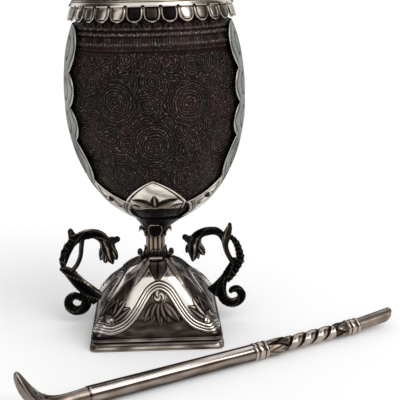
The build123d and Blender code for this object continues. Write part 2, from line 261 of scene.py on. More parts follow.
def silverMaterial(name, look):
    # metal darkened by its per-point darkening value: tarnish in the recesses, and on some pieces painted
    # dark reflections and painted highlights; with cloudy patches and fine scratches
    material, tree, shader = startMaterial(name)
    shader.inputs["Metallic"].default_value = 1.0
    tarnishAndPaintedLight = tree.nodes.new("ShaderNodeAttribute")
    tarnishAndPaintedLight.attribute_name = "tarnishAndPaintedLight"
    cloud = noiseNode(tree, look["cloudScale"], 5)
    patches = mathNode(tree, "MULTIPLY_ADD", cloud, look["cloud"])
    patches.node.inputs[2].default_value = look["base"] - look["cloud"] * 0.5
    patinaAndPaintedLight = mathNode(tree, "ADD", tarnishAndPaintedLight.outputs["Fac"], patches, clamp=True)
    colour = rampNode(tree, patinaAndPaintedLight, look["colours"])
    tree.links.new(colour, shader.inputs["Base Color"])
    gloss = rampNode(tree, patinaAndPaintedLight, [(0.0, (look["smooth"],) * 3), (1.0, (look["rough"],) * 3)])
    tree.links.new(gloss, shader.inputs["Roughness"])
    scratch = noiseNode(tree, look["grainScale"], 3, 0.6, look.get("grainStretch", (1, 1, 1)))
    bumpNode(tree, shader, scratch, look["grain"], 0.00012)
    return material


def coconutMaterial(look):
    # dark shell carved with fine rings round many centres; raised lines (negative carving) are worn lighter
    material, tree, shader = startMaterial("carvedCoconut")
    carved = tree.nodes.new("ShaderNodeAttribute")
    carved.attribute_name = "tarnishAndPaintedLight"
    way = tree.nodes.new("ShaderNodeAttribute")
    way.attribute_name = "ringWay"
    cloud = noiseNode(tree, look["cloudScale"], 4)
    fibre = noiseNode(tree, look["fibreScale"], 6, 0.7, (1, 1, 0.25))
    speck = noiseNode(tree, look["speckScale"], 2, 0.5)
    wobble = noiseNode(tree, look["wobbleScale"], 3)
    drift = noiseNode(tree, look["driftScale"], 2)
    turns = mathNode(tree, "ADD", mathNode(tree, "MULTIPLY", way.outputs["Fac"],
                                           2 * pi / look["ringPitch"]),
                     mathNode(tree, "MULTIPLY", wobble, look["wobble"]))
    turns = mathNode(tree, "ADD", turns, mathNode(tree, "MULTIPLY", drift, look["drift"]))
    inField = mathNode(tree, "GREATER_THAN", way.outputs["Fac"], 0.0)
    wave = mathNode(tree, "MULTIPLY", mathNode(tree, "SINE", turns, 0.0), inField)
    ringLight = rampNode(tree, wave, [(0.62, (0, 0, 0)), (1.0, (1, 1, 1))])
    ringDark = rampNode(tree, mathNode(tree, "MULTIPLY", wave, -1.0),
                        [(0.1, (0, 0, 0)), (0.9, (0.6, 0.6, 0.6))])
    ground = rampNode(tree, cloud, look["colours"])
    fibres = mixNode(tree, rampNode(tree, fibre, [(0.45, (0, 0, 0)), (0.72, (0.55, 0.55, 0.55))]),
                     ground, look["fibreColour"])
    raised = mathNode(tree, "MAXIMUM", mathNode(tree, "MULTIPLY", carved.outputs["Fac"], -1.0,
                                                clamp=True), ringLight)
    specks = rampNode(tree, speck, [(0.46, (0.16, 0.16, 0.16)), (0.56, (0.35, 0.35, 0.35)),
                                    (0.68, (1, 1, 1))])
    dots = rampNode(tree, speck, [(0.66, (0, 0, 0)), (0.72, (0.5, 0.5, 0.5))])
    worn = mathNode(tree, "MAXIMUM", mathNode(tree, "MULTIPLY", raised, specks, clamp=True), dots)
    dusty = mixNode(tree, mathNode(tree, "MULTIPLY", worn, look["wear"]), fibres, look["wearColour"])
    sunk = mathNode(tree, "MAXIMUM", carved.outputs["Fac"], ringDark)
    deep = mixNode(tree, mathNode(tree, "MULTIPLY", sunk, 0.9, clamp=True), dusty, look["grooveColour"])
    tree.links.new(deep, shader.inputs["Base Color"])
    gloss = rampNode(tree, sunk, [(0.0, (look["smooth"],) * 3), (1.0, (look["rough"],) * 3)])
    tree.links.new(gloss, shader.inputs["Roughness"])
    shader.inputs["Specular IOR Level"].default_value = look["shine"]
    bumpNode(tree, shader, mathNode(tree, "ADD", mathNode(tree, "MULTIPLY", wave, 0.8),
                                    mathNode(tree, "ADD", fibre, speck)), look["grain"], 0.00025)
    return material


silverLooks = {
    "polished": {"base": 0.22, "cloud": 0.42, "cloudScale": 60, "smooth": 0.16, "rough": 0.5,
                 "grain": 0.12, "grainScale": 900,
                 "colours": [(0.0, (0.93, 0.89, 0.82)), (0.35, (0.60, 0.53, 0.45)),
                             (0.65, (0.13, 0.10, 0.08)), (0.88, (0.015, 0.012, 0.010)),
                             (1.0, (0.006, 0.005, 0.005))]},
    "strap": {"base": 0.40, "cloud": 0.34, "cloudScale": 110, "smooth": 0.34, "rough": 0.6,
              "grain": 0.35, "grainScale": 1400,
              "colours": [(0.0, (0.80, 0.79, 0.74)), (0.4, (0.37, 0.37, 0.345)),
                          (0.75, (0.09, 0.09, 0.085)), (1.0, (0.012, 0.011, 0.010))]},
    "chased": {"base": 0.10, "cloud": 0.34, "cloudScale": 70, "smooth": 0.16, "rough": 0.5,
               "grain": 0.03, "grainScale": 900,
               "colours": [(0.0, (0.93, 0.89, 0.82)), (0.3, (0.60, 0.54, 0.47)),
                           (0.6, (0.12, 0.09, 0.075)), (0.85, (0.016, 0.012, 0.011)),
                           (1.0, (0.006, 0.005, 0.005))]},
    "cast": {"base": 0.70, "cloud": 0.5, "cloudScale": 190, "smooth": 0.13, "rough": 0.42, "grain": 0.35,
             "grainScale": 700,
             "colours": [(0.0, (0.70, 0.64, 0.56)), (0.35, (0.30, 0.25, 0.20)),
                         (0.6, (0.035, 0.029, 0.025)), (0.8, (0.009, 0.008, 0.007)),
                         (1.0, (0.003, 0.003, 0.003))]},
    "leaf": {"base": 0.30, "cloud": 0.40, "cloudScale": 120, "smooth": 0.2, "rough": 0.5, "grain": 0.2,
             "grainScale": 900,
             "colours": [(0.0, (0.88, 0.83, 0.75)), (0.35, (0.45, 0.40, 0.34)),
                         (0.7, (0.08, 0.065, 0.055)), (1.0, (0.010, 0.008, 0.008))]},
    "stem": {"base": 0.42, "cloud": 0.40, "cloudScale": 140, "smooth": 0.2, "rough": 0.5, "grain": 0.2,
             "grainScale": 900,
             "colours": [(0.0, (0.86, 0.78, 0.66)), (0.4, (0.42, 0.34, 0.26)),
                         (0.75, (0.09, 0.065, 0.05)), (1.0, (0.010, 0.008, 0.008))]},
    "straw": {"base": 0.20, "cloud": 0.42, "cloudScale": 45, "smooth": 0.13, "rough": 0.45,
              "grain": 0.08, "grainScale": 1200,
              "colours": [(0.0, (0.82, 0.78, 0.72)), (0.3, (0.42, 0.35, 0.30)),
                          (0.6, (0.12, 0.088, 0.068)), (1.0, (0.008, 0.006, 0.005))]},
}
silverLooks["strawCast"] = dict(silverLooks["straw"], base=0.46, cloud=0.7, cloudScale=90)
finish = {name: silverMaterial(name + "Silver", look) for name, look in silverLooks.items()}

coconutLook = {"ringPitch": 1.1, "wobble": 10.0, "wobbleScale": 420, "drift": 22.0, "driftScale": 110,
               "cloudScale": 55, "fibreScale": 260, "speckScale": 1100, "wear": 1.0, "smooth": 0.30,
               "rough": 0.7, "shine": 0.075, "grain": 0.7,
               "colours": [(0.3, (0.005, 0.003, 0.0025)), (0.5, (0.008, 0.004, 0.0035)),
                           (0.7, (0.026, 0.006, 0.006))],
               "fibreColour": (0.030, 0.018, 0.014), "wearColour": (0.21, 0.18, 0.155),
               "grooveColour": (0.0025, 0.002, 0.002)}
finish["coconut"] = coconutMaterial(coconutLook)
print("materials ready:", len(finish))


# the egg that everything above the stem is built on: two half eggs that share the widest section
nut = {"radius": 40.6, "middle": 113.0, "upperReach": 61.8, "lowerReach": 56.4, "upperFullness": 2.57,
       "lowerFullness": 1.88,
       "wall": 3.2, "top": 156.0, "lean": 1.4, "leanHeight": 163.6, "leanSlope": 0.0244,
       "columns": 415, "rows": 205, "liningRows": 26, "relief": 0.42}
nutPole = nut["middle"] - nut["lowerReach"]


def nutPoint(z, offset=0.0):
    # radius and height of the egg's section at a height, moved out along its normal
    upper = z > nut["middle"]
    reach = nut["upperReach"] if upper else nut["lowerReach"]
    fullness = nut["upperFullness"] if upper else nut["lowerFullness"]
    share = min(abs(z - nut["middle"]) / reach, 1.0)
    radius = nut["radius"] * sqrt(max(1 - share ** fullness, 0.0))
    rise = nut["radius"] ** 2 * fullness * share ** (fullness - 1) / (2 * reach) * (1 if upper else -1)
    size = hypot(radius, rise) or 1.0
    return radius + radius / size * offset, z + rise / size * offset


def leaned(x, y, z):
    # the nut and its mount lean a little about a line above them
    turn = radians(-nut["lean"])
    dz = z - nut["leanHeight"]
    return x * cos(turn) + dz * sin(turn), y, nut["leanHeight"] - x * sin(turn) + dz * cos(turn)


def onNut(azimuth, z, offset):
    # azimuth 0 faces the front, and grows to the right
    radius, height = nutPoint(z, offset)
    return leaned(radius * sin(azimuth), -radius * cos(azimuth), height)


# carved swirls: azimuth, height, radius, and which way the arms wind
swirls = [(-25, 118.6, 9.2, 1), (20.5, 118.4, 9.2, -1), (-2, 100.3, 9.6, 1), (47, 101, 8.6, 1),
          (-50, 100, 8.6, -1),
          (20, 84.5, 7.0, -1), (-24, 84.5, 7.0, 1)]
swirls = swirls + [(azimuth + 180, z, size, -turn) for azimuth, z, size, turn in swirls]
swirls = swirls + [(90, 118, 9, 1), (90, 98, 9, -1), (270, 118, 9, -1), (270, 98, 9, 1)]


def bandCarving(azimuth, z, radius):
    # rows of plain ornament below the collar, as depth from 0 to 1
    round40 = azimuth * 40.0 / (2 * pi)
    lines = max(ridge(z - edge, 0.22) for edge in (151.2, 147.6, 145.4, 141.9, 140.6, 139.2))
    lines -= 1.3 * max(ridge(z - edge - 0.6, 0.24) for edge in (151.2, 147.6, 145.4, 141.9, 140.6, 139.2))
    if 147.6 < z < 151.2:
        cell = (round40 * 1.25) % 1 - 0.5
        ring = abs(hypot(cell * radius * 2 * pi / 50, z - 149.4) - 1.2)
        return lines - 0.8 * ridge(ring, 0.3)
    if 145.4 < z < 147.6:
        cell = abs((round40 * 2) % 1 - 0.5) * 2
        return lines - 0.7 * ridge((z - 145.4) / 2.2 - cell, 0.22)
    if 141.9 < z < 145.4:
        hatch = sin(azimuth * 190)
        return lines + 0.7 * max(hatch, 0.0) ** 2 - 1.1 * max(-hatch, 0.0) ** 2
    if 140.6 < z < 141.9:
        return lines - ridge(z - 141.25, 0.35) * (0.5 + 0.5 * sin(azimuth * 120)) ** 2
    return lines


def ringWay(azimuth, z):
    # distance to the nearest centre that rings are carved round: a swirl, or one of the small ones between
    radius = nutPoint(z)[0]
    near = 99.0
    for centre, height, size, turn in swirls:
        side = (azimuth - radians(centre) + pi) % (2 * pi) - pi
        d = hypot(side * radius, z - height)
        if d < size * 1.12:
            near = min(near, d)
    if near < 99:
        return near + 0.05
    cells = 29
    u, v = azimuth / (2 * pi) * cells, z / 8.6
    for i in (-1, 0, 1):
        for j in (-1, 0, 1):
            column = floor(u) + i
            jitter = noise.cell_vector(Vector((column % cells + 0.5, floor(v) + j + 0.5, 7.5)))
            near = min(near, hypot((u - column - 0.5 - 0.4 * jitter.x) * 2 * pi * radius / cells,
                                   (v - floor(v) - j - 0.5 - 0.4 * jitter.y) * 8.6))
    return near + 0.05


def fieldCarving(azimuth, z, radius):
    # soft relief of the swirls' rims and of the foliage between them; the fine rings are in the material
    for centre, height, size, turn in swirls:
        side = (azimuth - radians(centre) + pi) % (2 * pi) - pi
        x, y = side * radius, z - height
        d = hypot(x, y)
        if d < size:
            arms = 0.5 + 0.5 * sin(2 * pi * d / 3.4 - turn * atan2(y, x) * 2)
            return max(0.42 * arms ** 2, 0.75 * ridge(d - size + 0.4, 0.35))
    warp = noise.noise_vector(Vector((sin(azimuth) * 4.6, cos(azimuth) * 4.6, z * 0.11))) * 2.4
    u, v = azimuth * 37 / 5 + warp.x, z / 5.2 + warp.y
    return 0.5 * (0.5 + 0.5 * sin(u * 5 + 3 * sin(v * 2.5))) ** 3


def makeCoconut():
    bm = newBmesh()
    low, high = nutPole, nut["top"]

    linings = nut["liningRows"]
    rows = nut["rows"] + linings

    def shell(u, v):
        # from the inner pole up to the rim, over it, and down the outside
        azimuth = 2 * pi * u - pi
        row = round(v * rows)
        if row < linings:
            z = high + (low - high) * sin(pi / 2 * (1 - row / (linings - 1)))
            return (onNut(azimuth, z, -nut["wall"]),
                    0.35 + 0.3 * noise.noise(Vector((azimuth * 3, z * 0.05, 1))))
        z = high + (low - high) * sin(pi / 2 * (row - linings) / nut["rows"])
        radius = nutPoint(z)[0]
        if z > 139.0:
            depth = bandCarving(azimuth, z, radius)
        elif z > 70:
            depth = fieldCarving(azimuth, z, radius)
        else:
            depth = 0.0
        return onNut(azimuth, z, -nut["relief"] * max(depth, -0.6) - 0.03), depth

    mappedGrid(bm, nut["columns"], rows, shell, wrap=True)
    rings = bm.verts.layers.float.new("ringWay")
    for v in bm.verts:
        x, y, z = v.co / mm
        x += nut["leanSlope"] * (z - nut["leanHeight"])
        outside = hypot(x, y) > nutPoint(min(z, 155.9))[0] - 1.6
        v[rings] = ringWay(atan2(x, -y), z) if 66 < z < 138.6 and outside else -1.0
    finishPiece("carvedCoconut", bm, finish["coconut"], ["coconut_shell"])


makeCoconut()
print("coconut carved")


# collar: skirt of tongues, shoulder, neck and rolled lip
collar = {"tongues": 32, "tip": (38.4, 151.0), "root": (36.3, 157.3), "shoulder": (33.6, 161.2),
          "neck": (30.6, 165.6), "lip": (33.2, 172.4),
          "wall": 0.9, "crown": 0.55, "rim": 0.28, "slot": 0.42, "bead": 1.05, "seat": 156.0, "lift": 0.9}


def collarProfile(share):
    line = [collar[name] for name in ("tip", "root", "shoulder", "neck", "lip")]
    return throughPoints(line, share)


def tongueFace(index):
    pitch = 2 * pi / collar["tongues"]
    # the three front tongues are painted dark as a painted dark reflection; the others get a duller tone
    # that varies from tongue to tongue
    toneAndPaintedReflection = {0: 0.50, 1: 0.66, 31: 0.58}.get(index, 0.28 * max(sin(index * 2.7), 0.0))

    def place(u, v):
        s = 2 * u - 1
        rise = v * 6.6
        half = collar["tip"][0] * pitch / 2
        reach = half - collar["slot"] / 2
        if rise < half:
            width = sqrt(max(half ** 2 - (half - rise) ** 2, 0.0)) * reach / half
        else:
            width = reach - 0.22 * smoothStep(5.2, 6.2, rise)
        width = max(width, 0.05)
        x, z = collarProfile(0.25 * (rise + collar["lift"]) / (6.3 + collar["lift"]))
        edge = min((1 - abs(s)) * width, rise * 0.9 + 0.02)
        crown = collar["crown"] * (1 - s * s) * smoothStep(0, 2.0, rise) * smoothStep(7.4, 4.0, rise)
        rim = collar["rim"] * ridge(edge - 0.25, 0.32)
        groove = ridge(edge - 0.85, 0.3)
        out = x + crown + rim - 0.12 * groove - 0.3
        angle = pitch * index + s * width / collar["tip"][0]
        return (leaned(out * sin(angle), -out * cos(angle), z),
                min(0.75 * groove + 0.1 * (1 - s * s) + toneAndPaintedReflection * smoothStep(0.3, 1.2, edge), 1.0))

    return place


def makeCollar():
    bm = newBmesh()
    for index in range(collar["tongues"]):
        mappedGrid(bm, 14, 14, tongueFace(index))
    finishPiece("collarTongues", bm, finish["polished"], ["rim_collar"], wall=0.5)
    bm = newBmesh()

    def shoulder(u, v):
        azimuth = 2 * pi * u
        share = 0.245 + 0.755 * v
        x, z = collarProfile(share)
        groove = ridge(z - 158.9, 0.28) + ridge(z - 164.0, 0.3) + ridge(z - 167.2, 0.3)
        slot = (0.5 - abs((u * collar["tongues"]) % 1 - 0.5)) * 2 * pi * x / collar["tongues"]
        swag = 1.7 * smoothStep(0.85, 0.55, hypot(pi * x / collar["tongues"] - slot,
                                                  (z - 157.0))) if z < 158.4 else 0.0
        leafy = 0.0
        if 159.4 < z < 163.4:
            leafy = max(0.0, sin(u * 2 * pi * 48)) ** 2 * ridge((z - 161.4) / 1.5, 1.0)
        x += 0.25 * leafy - 0.15 * min(groove, 1)
        return (leaned(x * sin(azimuth), -x * cos(azimuth), z),
                min(0.9 * groove + 0.6 * swag + 0.45 * (1 - leafy) * (159.4 < z < 163.4), 1.0))

    mappedGrid(bm, 512, 48, shoulder, wrap=True)
    finishPiece("collarShoulder", bm, finish["polished"], ["rim_collar"],
                wall=collar["wall"])
    bm = newBmesh()

    def lip(u, v):
        x = collar["lip"][0] - 0.5 + collar["bead"] * cos(2 * pi * v)
        z = collar["lip"][1] + collar["bead"] * sin(2 * pi * v)
        return leaned(x * sin(2 * pi * u), -x * cos(2 * pi * u), z), 0.0

    mappedGrid(bm, 128, 14, lip, wrap=True)
    finishPiece("collarLip", bm, finish["polished"], ["rim_collar"])
    bm = newBmesh()
    inner, outer = nutPoint(collar["seat"], -nut["wall"])[0], collar["root"][0] - 0.6

    def seat(u, v):
        azimuth = 2 * pi * u
        loop = [(inner, 0.05), (outer, 0.05), (outer, 0.95), (inner, 0.95), (inner, 0.05)]
        x, rise = loop[min(int(round(v * 4)), 4)]
        return leaned(x * sin(azimuth), -x * cos(azimuth), collar["seat"] + rise), 0.35

    mappedGrid(bm, 128, 4, seat, wrap=True)
    finishPiece("collarSeat", bm, finish["polished"], ["rim_collar"])


makeCollar()
print("collar ready")


# side straps of grey sheet: half width and height down each edge
strapShape = {"top": (10.0, 149.6), "bulges": [(22.2, 140.0), (23.4, 123.0), (24.5, 107.5), (23.6, 91.0)],
              "cusps": [(19.2, 129.8), (19.8, 114.8), (20.4, 100.5), (18.2, 80.8)], "foot": 82.6,
              "centreLift": 0.55, "crown": 0.6, "edgeLift": 0.9, "roll": 0.35, "inset": 1.02,
              "wall": 0.45}


def arcWidth(start, bulge, end, z):
    # width at a height on the arc through three points
    (x1, z1), (x2, z2), (x3, z3) = start, bulge, end
    turn = 2 * (x1 * (z2 - z3) + x2 * (z3 - z1) + x3 * (z1 - z2))
    a, b, c = x1 * x1 + z1 * z1, x2 * x2 + z2 * z2, x3 * x3 + z3 * z3
    midX = (a * (z2 - z3) + b * (z3 - z1) + c * (z1 - z2)) / turn
    midZ = (a * (x3 - x2) + b * (x1 - x3) + c * (x2 - x1)) / turn
    radius = hypot(x1 - midX, z1 - midZ)
    return midX + sqrt(max(radius ** 2 - (z - midZ) ** 2, 0.0))


def strapWidth(z):
    start = strapShape["top"]
    for bulge, cusp in zip(strapShape["bulges"], strapShape["cusps"]):
        if z >= cusp[1]:
            return arcWidth(start, bulge, cusp, min(z, start[1]))
        start = cusp
    return strapShape["cusps"][-1][0]


def makeStrap(side, name):
    bm = newBmesh()
    topZ, footZ = strapShape["top"][1], strapShape["foot"]

    def place(u, v):
        s = 2 * u - 1
        foot = footZ - (footZ - strapShape["cusps"][-1][1]) * abs(s) ** 2.2 - 0.9 * sin(pi * abs(s)) ** 2
        z = foot + (topZ - foot) * v
        width = strapWidth(max(z, 80.85)) * strapShape["inset"]
        y = s * width
        lobes = [topZ] + [cusp[1] for cusp in strapShape["cusps"]]
        lobe = max(i for i in range(4) if z <= lobes[i] + 1e-6) if z <= topZ else 0
        share = (lobes[lobe] - z) / (lobes[lobe] - lobes[lobe + 1])
        middle = (lobes[lobe] + lobes[lobe + 1]) / 2
        edge = width - abs(y)
        puff = sin(pi * min(max(share, 0), 1)) ** 0.5
        # engraved leaf and scroll outlines that follow each lobe
        scroll = ridge(edge - 2.0 - 0.8 * sin(share * pi * 3),
                       0.32) * smoothStep(0, 0.15, share) * smoothStep(1, 0.85, share)
        leaf = ridge(hypot(abs(y) - width * 0.62, (z - middle) * 0.55) - 2.6, 0.35)
        vein = ridge(abs(y) - width * 0.62 - 0.5 * sin(z * 1.1), 0.25) * ridge((z - middle) / 5, 1.0)
        spine = (ridge(abs(y) - 3.4 - 1.3 * sin(z * 0.42), 0.35)
                 + ridge(abs(y) - 7.6 + 1.4 * sin(z * 0.42), 0.3))
        depth = min(0.9 * scroll + 0.7 * leaf + 0.6 * vein + 0.6 * spine, 1.0)
        lip = ridge(edge, 0.55)
        offset = 0.3 + strapShape["centreLift"] + strapShape["crown"] * puff * (abs(s) - abs(s) ** 4) * 1.2
        offset += strapShape["edgeLift"] * abs(s) ** 3 + strapShape["roll"] * lip - 0.22 * depth
        offset = min(offset, 1.15 + 0.9 * abs(s))
        radius, height = nutPoint(z, offset)
        x = sqrt(max(radius ** 2 - y ** 2, 0.0))
        return (leaned(side * x, y, height),
                min(max(0.85 * depth - 0.25 * lip + 0.12 * (1 - puff), -0.2), 1))

    mappedGrid(bm, 110, 230, place)
    return finishPiece(name, bm, finish["strap"], ["strap_" + name.split("Strap")[0]],
                       wall=strapShape["wall"])


makeStrap(-1, "leftStrap")
makeStrap(1, "rightStrap")
for side in ("left", "right"):
    nodes["strap_pin_" + side].data.materials.clear()
    nodes["strap_pin_" + side].data.materials.append(finish["leaf"])
print("straps ready")


# calyx: kite leaves front and back, broad leaves at the sides, the cup under them
calyx = {"apex": 84.0, "bow": (7.8, 79.3), "corner": (13.9, 71.8), "waist": (4.6, 60.5),
         "kiteFoot": (4.2, 50.6), "turn": 4.4,
         "sideTop": (18.0, 80.4), "sideCorner": (25.2, 71.5), "sideWaist": (9.0, 58.5),
         "cupBase": (5.2, 50.8), "cupTop": (15.0, 60.2), "cupBow": 0.8, "wall": 0.6}


def kiteWidth(z):
    if z > calyx["corner"][1]:
        return arcWidth((0.0, calyx["apex"]), calyx["bow"], calyx["corner"],
                        z) if z < calyx["apex"] else 0.0
    share = (calyx["corner"][1] - z) / (calyx["corner"][1] - calyx["waist"][1])
    return calyx["corner"][0] + (calyx["waist"][0] - calyx["corner"][0]) * share


def chord(points, z):
    # half width at a height of a line of (half width, height) corners going down
    for (x0, z0), (x1, z1) in zip(points, points[1:]):
        if z1 <= z <= z0:
            return x0 + (x1 - x0) * (z0 - z) / (z0 - z1)
    return points[-1][0]


def kiteCarving(x, z):
    # border line, palmette with a bud, two wide lobes and two low lobes, and a small ring under it
    edge = kiteEdge(z) - abs(x)
    if z > calyx["corner"][1]:
        edge *= 0.72
    groove = ridge(edge - 1.15, 0.30)
    bud, across = leafMask((0, 70.2), (0, 77.4), 2.3, x, z)[::2]
    budVein = ridge(abs(across) - 0.45, 0.2) * bud
    wide, wideAcross = leafMask((0.4, 70.6), (10.6, 74.0), 2.1, abs(x), z, -0.7)[::2]
    low = leafMask((0.6, 69.4), (9.0, 67.4), 1.2, abs(x), z, 0.3)[0]
    side = leafMask((6.8, 70.6), (12.2, 70.9), 1.0, abs(x), z)[0]
    ring = ridge(hypot(x, z - 65.2) - 1.25, 0.4)
    dark = 0.9 * groove + 0.65 * bud * (0.4 + 0.6 * abs(across)) + 0.5 * budVein
    dark += wide * (0.75 if wideAcross < 0.1 else 0.35) + 0.85 * low + 0.6 * side + 0.95 * ring
    # below the palmette the kite is painted dark as a painted dark reflection, with a lighter V line and
    # light streaks as painted highlights
    dark += (1.15 * smoothStep(70.8, 67.0, z + 0.10 * abs(x))
             - 0.3 * ridge(abs(x) - (z - 52) * 0.28, 0.5) * smoothStep(66, 62, z))
    dark -= 0.9 * max(noise.noise(Vector((atan2(x, z - 44) * 16, z * 0.16, 1.5))),
                      0.0) * smoothStep(68.5, 66.5, z)
    lift = (0.9 * bud * (1 - across ** 2) + 0.7 * wide * (1 - wideAcross ** 2) + 0.45 * low + 0.4 * side
            - 0.45 * groove)
    return dark, lift + 0.35 * ridge(edge - 0.35, 0.4)


def kiteEdge(z):
    # the kite's half width; below its corners it narrows evenly to the stem
    if z > calyx["corner"][1]:
        return kiteWidth(min(z, calyx["apex"] - 0.01))
    low = calyx["kiteFoot"]
    return low[0] + (calyx["corner"][0] - low[0]) * (z - low[1]) / (calyx["corner"][1] - low[1])


def cupRadius(z):
    (baseRadius, baseZ), (topRadius, topZ) = calyx["cupBase"], calyx["cupTop"]
    v = (z - baseZ) / (topZ - baseZ)
    return baseRadius + (topRadius - baseRadius) * v - 4 * calyx["cupBow"] * v * (1 - v)


def makeKite(halfTurn, name):
    bm = newBmesh()
    foot = calyx["kiteFoot"][1]

    def place(u, v):
        z = foot + (calyx["apex"] - foot) * v
        width = max(kiteEdge(z), 0.03)
        x = (2 * u - 1) * width
        dark, lift = kiteCarving(x, z)
        crown = 0.75 * (1 - (2 * u - 1) ** 2) * smoothStep(60, 68, z) * smoothStep(84.5, 76, z)
        radius, height = nutPoint(max(z, 58.5), 0.75 + crown + 0.5 * lift)
        onCup = smoothStep(63.5, 59.5, z)
        radius += (cupRadius(z) + 0.35 + 0.3 * lift - radius) * onCup
        height += (z - height) * onCup
        x = max(min(x, radius * 0.98), -radius * 0.98)
        y = -sqrt(max(radius ** 2 - x ** 2, 0.0))
        turn = -radians(calyx["turn"]) + halfTurn * pi
        place = leaned(x * cos(turn) - y * sin(turn), x * sin(turn) + y * cos(turn), height)
        back = (place[0] - x * cos(turn) + y * sin(turn)) * smoothStep(60.0, 51.0, z)
        stain = 0.34 * max(noise.noise(Vector((x * 0.16, z * 0.5 + x * 0.12, 6.0))), -0.3)
        return (place[0] - back, place[1], place[2]), min(max(dark - 0.08 + stain, -0.2), 1.0)

    mappedGrid(bm, 150, 170, place)
    finishPiece(name, bm, finish["polished"], ["calyx"], wall=0.5)


def makeSideLeaf(side, name):
    bm = newBmesh()
    outline = [calyx["sideTop"], calyx["sideCorner"], calyx["sideWaist"]]

    def place(u, v):
        s = 2 * u - 1
        z = outline[-1][1] - 1.0 + (outline[0][1] + 1.8 * abs(s) ** 3 - outline[-1][1] + 1.0) * v
        width = chord(outline, min(max(z, outline[-1][1]), outline[0][1])) * 0.985
        y = s * width
        edge = width - abs(y)
        groove = max(ridge(edge - 1.2, 0.3), ridge(edge - 2.1, 0.22) * 0.8)
        recess = ridge(abs(y) - (7.2 + 0.55 * (z - 62)),
                       0.8) * smoothStep(61, 64, z) * smoothStep(79.6, 77, z)
        curl = ridge(hypot(abs(y) - 16.6, z - 71.0) - 2.6, 0.35)
        leafy = max(0.0, sin(abs(y) * 1.35 + (z - 70) * 0.9)) ** 3 * smoothStep(12, 4, abs(y))
        dark = 0.85 * groove + 0.95 * recess + 0.7 * curl + 0.45 * leafy + 0.15
        offset = (0.5 + 0.55 * (1 - s * s) + 0.35 * abs(s) ** 6 - 0.25 * groove - 0.5 * recess
                  + 0.2 * leafy)
        radius, height = nutPoint(z, offset)
        x = sqrt(max(radius ** 2 - y ** 2, 0.0))
        return leaned(side * x, y, height), min(dark - 0.1, 1.0)

    mappedGrid(bm, 150, 90, place)
    finishPiece(name, bm, finish["polished"], ["calyx"], wall=calyx["wall"])


def makeCup():
    bm = newBmesh()
    baseZ, topZ = calyx["cupBase"][1], calyx["cupTop"][1]
    shift = (nut["leanHeight"] - topZ) * tan(radians(nut["lean"]))

    def place(u, v):
        angle = 2 * pi * u
        z = baseZ + (topZ - baseZ) * v
        radius = cupRadius(z)
        lobes = 0.5 + 0.5 * cos(angle * 8)
        radius -= 0.35 * lobes ** 3 * sin(pi * v)
        # the cup is dark, lighter towards its left and right sides as a painted highlight, and mottled by
        # noise streaks
        facing = abs(sin(angle))
        streak = max(noise.noise(Vector((sin(angle) * 9, cos(angle) * 9, z * 0.14))), 0.0)
        return ((radius * sin(angle) + shift * v, -radius * cos(angle), z),
                0.95 - 0.85 * smoothStep(0.72, 0.86, facing) - 0.6 * streak)

    mappedGrid(bm, 192, 24, place, wrap=True)
    finishPiece("calyxCup", bm, finish["leaf"], ["calyx"], wall=0.8)


for halfTurn, name in ((0, "frontKite"), (1, "backKite")):
    makeKite(halfTurn, name)
for side, name in ((-1, "leftSideLeaf"), (1, "rightSideLeaf")):
    makeSideLeaf(side, name)
makeCup()
for side in ("left", "right"):
    for end in ("front", "back"):
        rivet = nodes["rivet_" + side + "_" + end].data
        rivet.materials.clear()
        rivet.materials.append(finish["cast"])
print("calyx ready")


# stem: a reeded column with a round curled leaf on each side at its top and a rolled one at its foot
stem = {"radius": 4.7, "low": 36.2, "high": 51.0, "reeds": 12, "depth": 0.45, "upper": 49.8,
        "lower": 37.4, "upperWidth": 6.8, "lowerWidth": 6.4, "wall": 0.6}


def makeStem():
    bm = newBmesh()

    def place(u, v):
        angle = 2 * pi * u
        z = stem["low"] + (stem["high"] - stem["low"]) * v
        valley = (0.5 - 0.5 * cos(angle * stem["reeds"])) ** 3
        radius = stem["radius"] - 0.05 - stem["depth"] * valley
        ends = smoothStep(40.5, 37.5, z) + smoothStep(45.5, 48.5, z)
        return (radius * sin(angle), -radius * cos(angle), z), 0.05 + 0.6 * valley + 0.3 * ends

    mappedGrid(bm, 192, 30, place, wrap=True)
    finishPiece("reededStem", bm, finish["stem"], ["stem"], wall=0.8)


def makeCurl(name, line, turn, spread, shade, replaced):
    # a leaf that follows a line in the XZ plane; spread(v) is its half width, shade(s, v) its darkening:
    # tarnish, and on the lower leaves a painted highlight
    bm = newBmesh()

    def place(u, v):
        s = 2 * u - 1
        x, z = throughPoints(line, v)
        ahead = throughPoints(line, min(v + 0.02, 1.0))
        behind = throughPoints(line, max(v - 0.02, 0.0))
        dx, dz = ahead[0] - behind[0], ahead[1] - behind[1]
        size = hypot(dx, dz) or 1.0
        cup = 0.35 * s * s
        x, z = x - dz / size * cup, z + dx / size * cup
        across = s * spread(v)
        a = radians(90 * turn)
        return (x * cos(a) - across * sin(a), x * sin(a) + across * cos(a), z), shade(s, v)

    mappedGrid(bm, 30, 56, place)
    return finishPiece(name, bm, finish["stem"], replaced, wall=stem["wall"], wallSide=0)


def upperSpread(v):
    return stem["upperWidth"] / 2 * sqrt(max(1 - (2 * v - 1) ** 2 * 0.97, 0.02))


def upperShade(s, v):
    # black with a thin light rim
    return 1.0 - 1.15 * smoothStep(0.82, 0.93, hypot(s * sqrt(1 - (2 * v - 1) ** 2), 2 * v - 1))


def lowerSpread(v):
    return stem["lowerWidth"] / 2 * (0.72 + 0.28 * sin(pi * v))


def lowerShade(s, v):
    # veins at the top, a light bar where the leaf turns up as a painted highlight, and dark inside the roll
    veins = 0.6 * (0.5 - 0.5 * cos(s * pi * 3)) ** 3 * smoothStep(0.4, 0.3, v)
    roll = 0.7 * smoothStep(0.62, 0.68, v) - 0.9 * ridge(v - 0.52, 0.07)
    return 0.15 + veins + roll + 0.35 * ridge(abs(s) - 1, 0.06)


